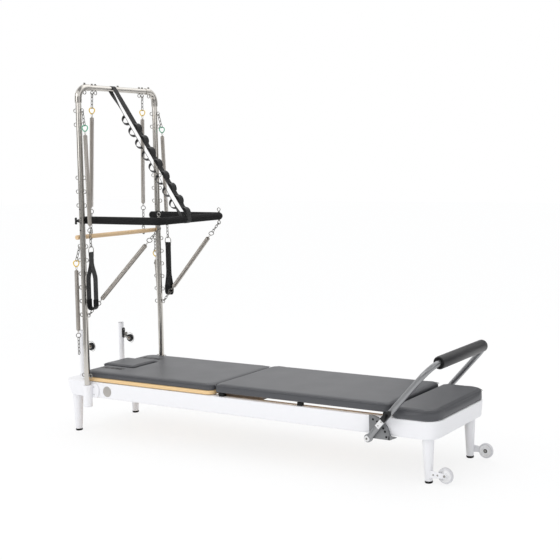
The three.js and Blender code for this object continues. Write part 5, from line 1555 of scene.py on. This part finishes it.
# Studio
class TOWER_OT_studio(bpy.types.Operator):
    """Set up the camera, the floor and the soft light"""

    bl_idname = "tower.studio"
    bl_label = "Studio"

    def execute(self, context):
        scene = context.scene
        scene.view_settings.view_transform = "Standard"
        self.camera(scene)
        self.floor()
        self.panels()
        scene.world = bpy.data.worlds.new("studio")
        scene.world.use_nodes = True
        scene.world.node_tree.nodes["Background"].inputs["Color"].default_value = (1, 1, 1, 1)
        for name, place, target, size, power in LAMPS:
            light = bpy.data.lights.new(name, "AREA")
            light.size = size
            light.energy = power
            lamp = bpy.data.objects.new(name, light)
            lamp.location = place
            way = Vector(target) - Vector(place)
            lamp.rotation_euler = way.to_track_quat("-Z", "Y").to_euler()
            lamp.visible_camera = False
            scene.collection.objects.link(lamp)
        return {"FINISHED"}

    def camera(self, scene):
        """The camera that the photograph was taken with."""
        azimuth, pitch, roll = (math.radians(CAMERA[key]) for key in ("azimuth", "pitch", "roll"))
        right = Vector((math.cos(azimuth), math.sin(azimuth), 0))
        forward = UP.cross(right) * math.cos(pitch) - UP * math.sin(pitch)
        up = right.cross(forward)
        level, upright = (right * math.cos(a) + up * math.sin(a) for a in (roll, roll + math.pi / 2))
        axes = level, upright, -forward
        width = LENS["width"]
        data = bpy.data.cameras.new("camera")
        data.sensor_width = 36
        data.lens = LENS["focal"] / width * data.sensor_width
        data.shift_x = (width / 2 - LENS["cx"]) / width
        data.shift_y = (LENS["cy"] - width / 2) / width
        obj = bpy.data.objects.new("camera", data)
        place = Vector(CAMERA["place"]) + ALONG * PHOTO_TO_FRAME
        obj.matrix_world = Matrix.Translation(place) @ Matrix(axes).transposed().to_4x4()
        scene.collection.objects.link(obj)
        scene.camera = obj

    def floor(self):
        """A wide white floor that keeps the shadow."""
        part = bmesh.new()
        bmesh.ops.create_grid(part, x_segments=1, y_segments=1, size=30)
        obj = to_object("floor", part)
        finish = Finish("studio floor", roughness=0.9, specular=0.1)
        finish.set("Base Color", (0.96, 0.97, 0.98, 1))
        glow = finish.node("ShaderNodeEmission", None, {"Color": (1, 1, 1, 1), "Strength": 1.0})
        seen = finish.node("ShaderNodeLightPath", output="Is Camera Ray")
        mirrored_ray = finish.node("ShaderNodeLightPath", output="Is Glossy Ray")
        surface = Value(finish, finish.shader.outputs[0])
        sockets = {0: (seen + mirrored_ray) * 0.8, 1: surface, 2: glow}
        blend = finish.node("ShaderNodeMixShader", None, sockets)
        output = finish.tree.nodes["Material Output"]
        finish.tree.links.new(blend.socket, output.inputs["Surface"])
        obj.data.materials.append(finish.material)

    def panels(self):
        """The grey panels round the object."""
        for number, (azimuth, half, tone) in enumerate(CARDS):
            angle = math.radians(azimuth)
            place = (8.5 * math.sin(angle), -8.5 * math.cos(angle), 1.9)
            self.card(f"card {number}", place, (half, 2.6), (0, 0, 1.9), tone)
        for panel in PANELS:
            self.card(*panel)

    def card(self, name, place, size, target, tone, shades=False):
        """A grey panel that only polished parts see, or that also holds back soft light."""
        part = bmesh.new()
        bmesh.ops.create_grid(part, x_segments=1, y_segments=1, size=1)
        bmesh.ops.scale(part, vec=(*size, 1), verts=part.verts)
        aim(part, Vector(place), Vector(target))
        obj = to_object(name.replace(" ", "_"), part)
        finish = Finish(name, roughness=1.0, specular=0.0)
        finish.set("Base Color", (tone, tone, tone, 1))
        obj.data.materials.append(finish.material)
        obj.visible_camera = False
        obj.visible_diffuse = shades
        obj.visible_shadow = False
        obj.visible_transmission = False


class TOWER_PT_panel(bpy.types.Panel):
    """The sidebar's list of steps and settings."""

    bl_idname = "TOWER_PT_panel"
    bl_label = "Tower unit"
    bl_space_type = "VIEW_3D"
    bl_region_type = "UI"
    bl_category = "Tower unit"

    def draw(self, context):
        for group in (context.scene.tower_sizes, context.scene.tower_colours):
            for name in group.__annotations__:
                self.layout.prop(group, name)
        for operator in OPERATORS:
            self.layout.operator(operator.bl_idname)


OPERATORS = (
    TOWER_OT_bed, TOWER_OT_legs, TOWER_OT_mat, TOWER_OT_carriage, TOWER_OT_posts, TOWER_OT_push_bar,
    TOWER_OT_springs, TOWER_OT_handles, TOWER_OT_pulleys, TOWER_OT_footbar, TOWER_OT_studio,
)
CLASSES = (TowerSizes, TowerColours, *OPERATORS, TOWER_PT_panel)


def register():
    for item in CLASSES:
        bpy.utils.register_class(item)
    bpy.types.Scene.tower_sizes = PointerProperty(type=TowerSizes)
    bpy.types.Scene.tower_colours = PointerProperty(type=TowerColours)


def unregister():
    del bpy.types.Scene.tower_colours
    del bpy.types.Scene.tower_sizes
    for item in reversed(CLASSES):
        bpy.utils.unregister_class(item)


def main():
    """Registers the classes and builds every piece."""
    register()
    for operator in OPERATORS:
        group, name = operator.bl_idname.split(".")
        getattr(getattr(bpy.ops, group), name)()


if __name__ == "__main__":
    main()
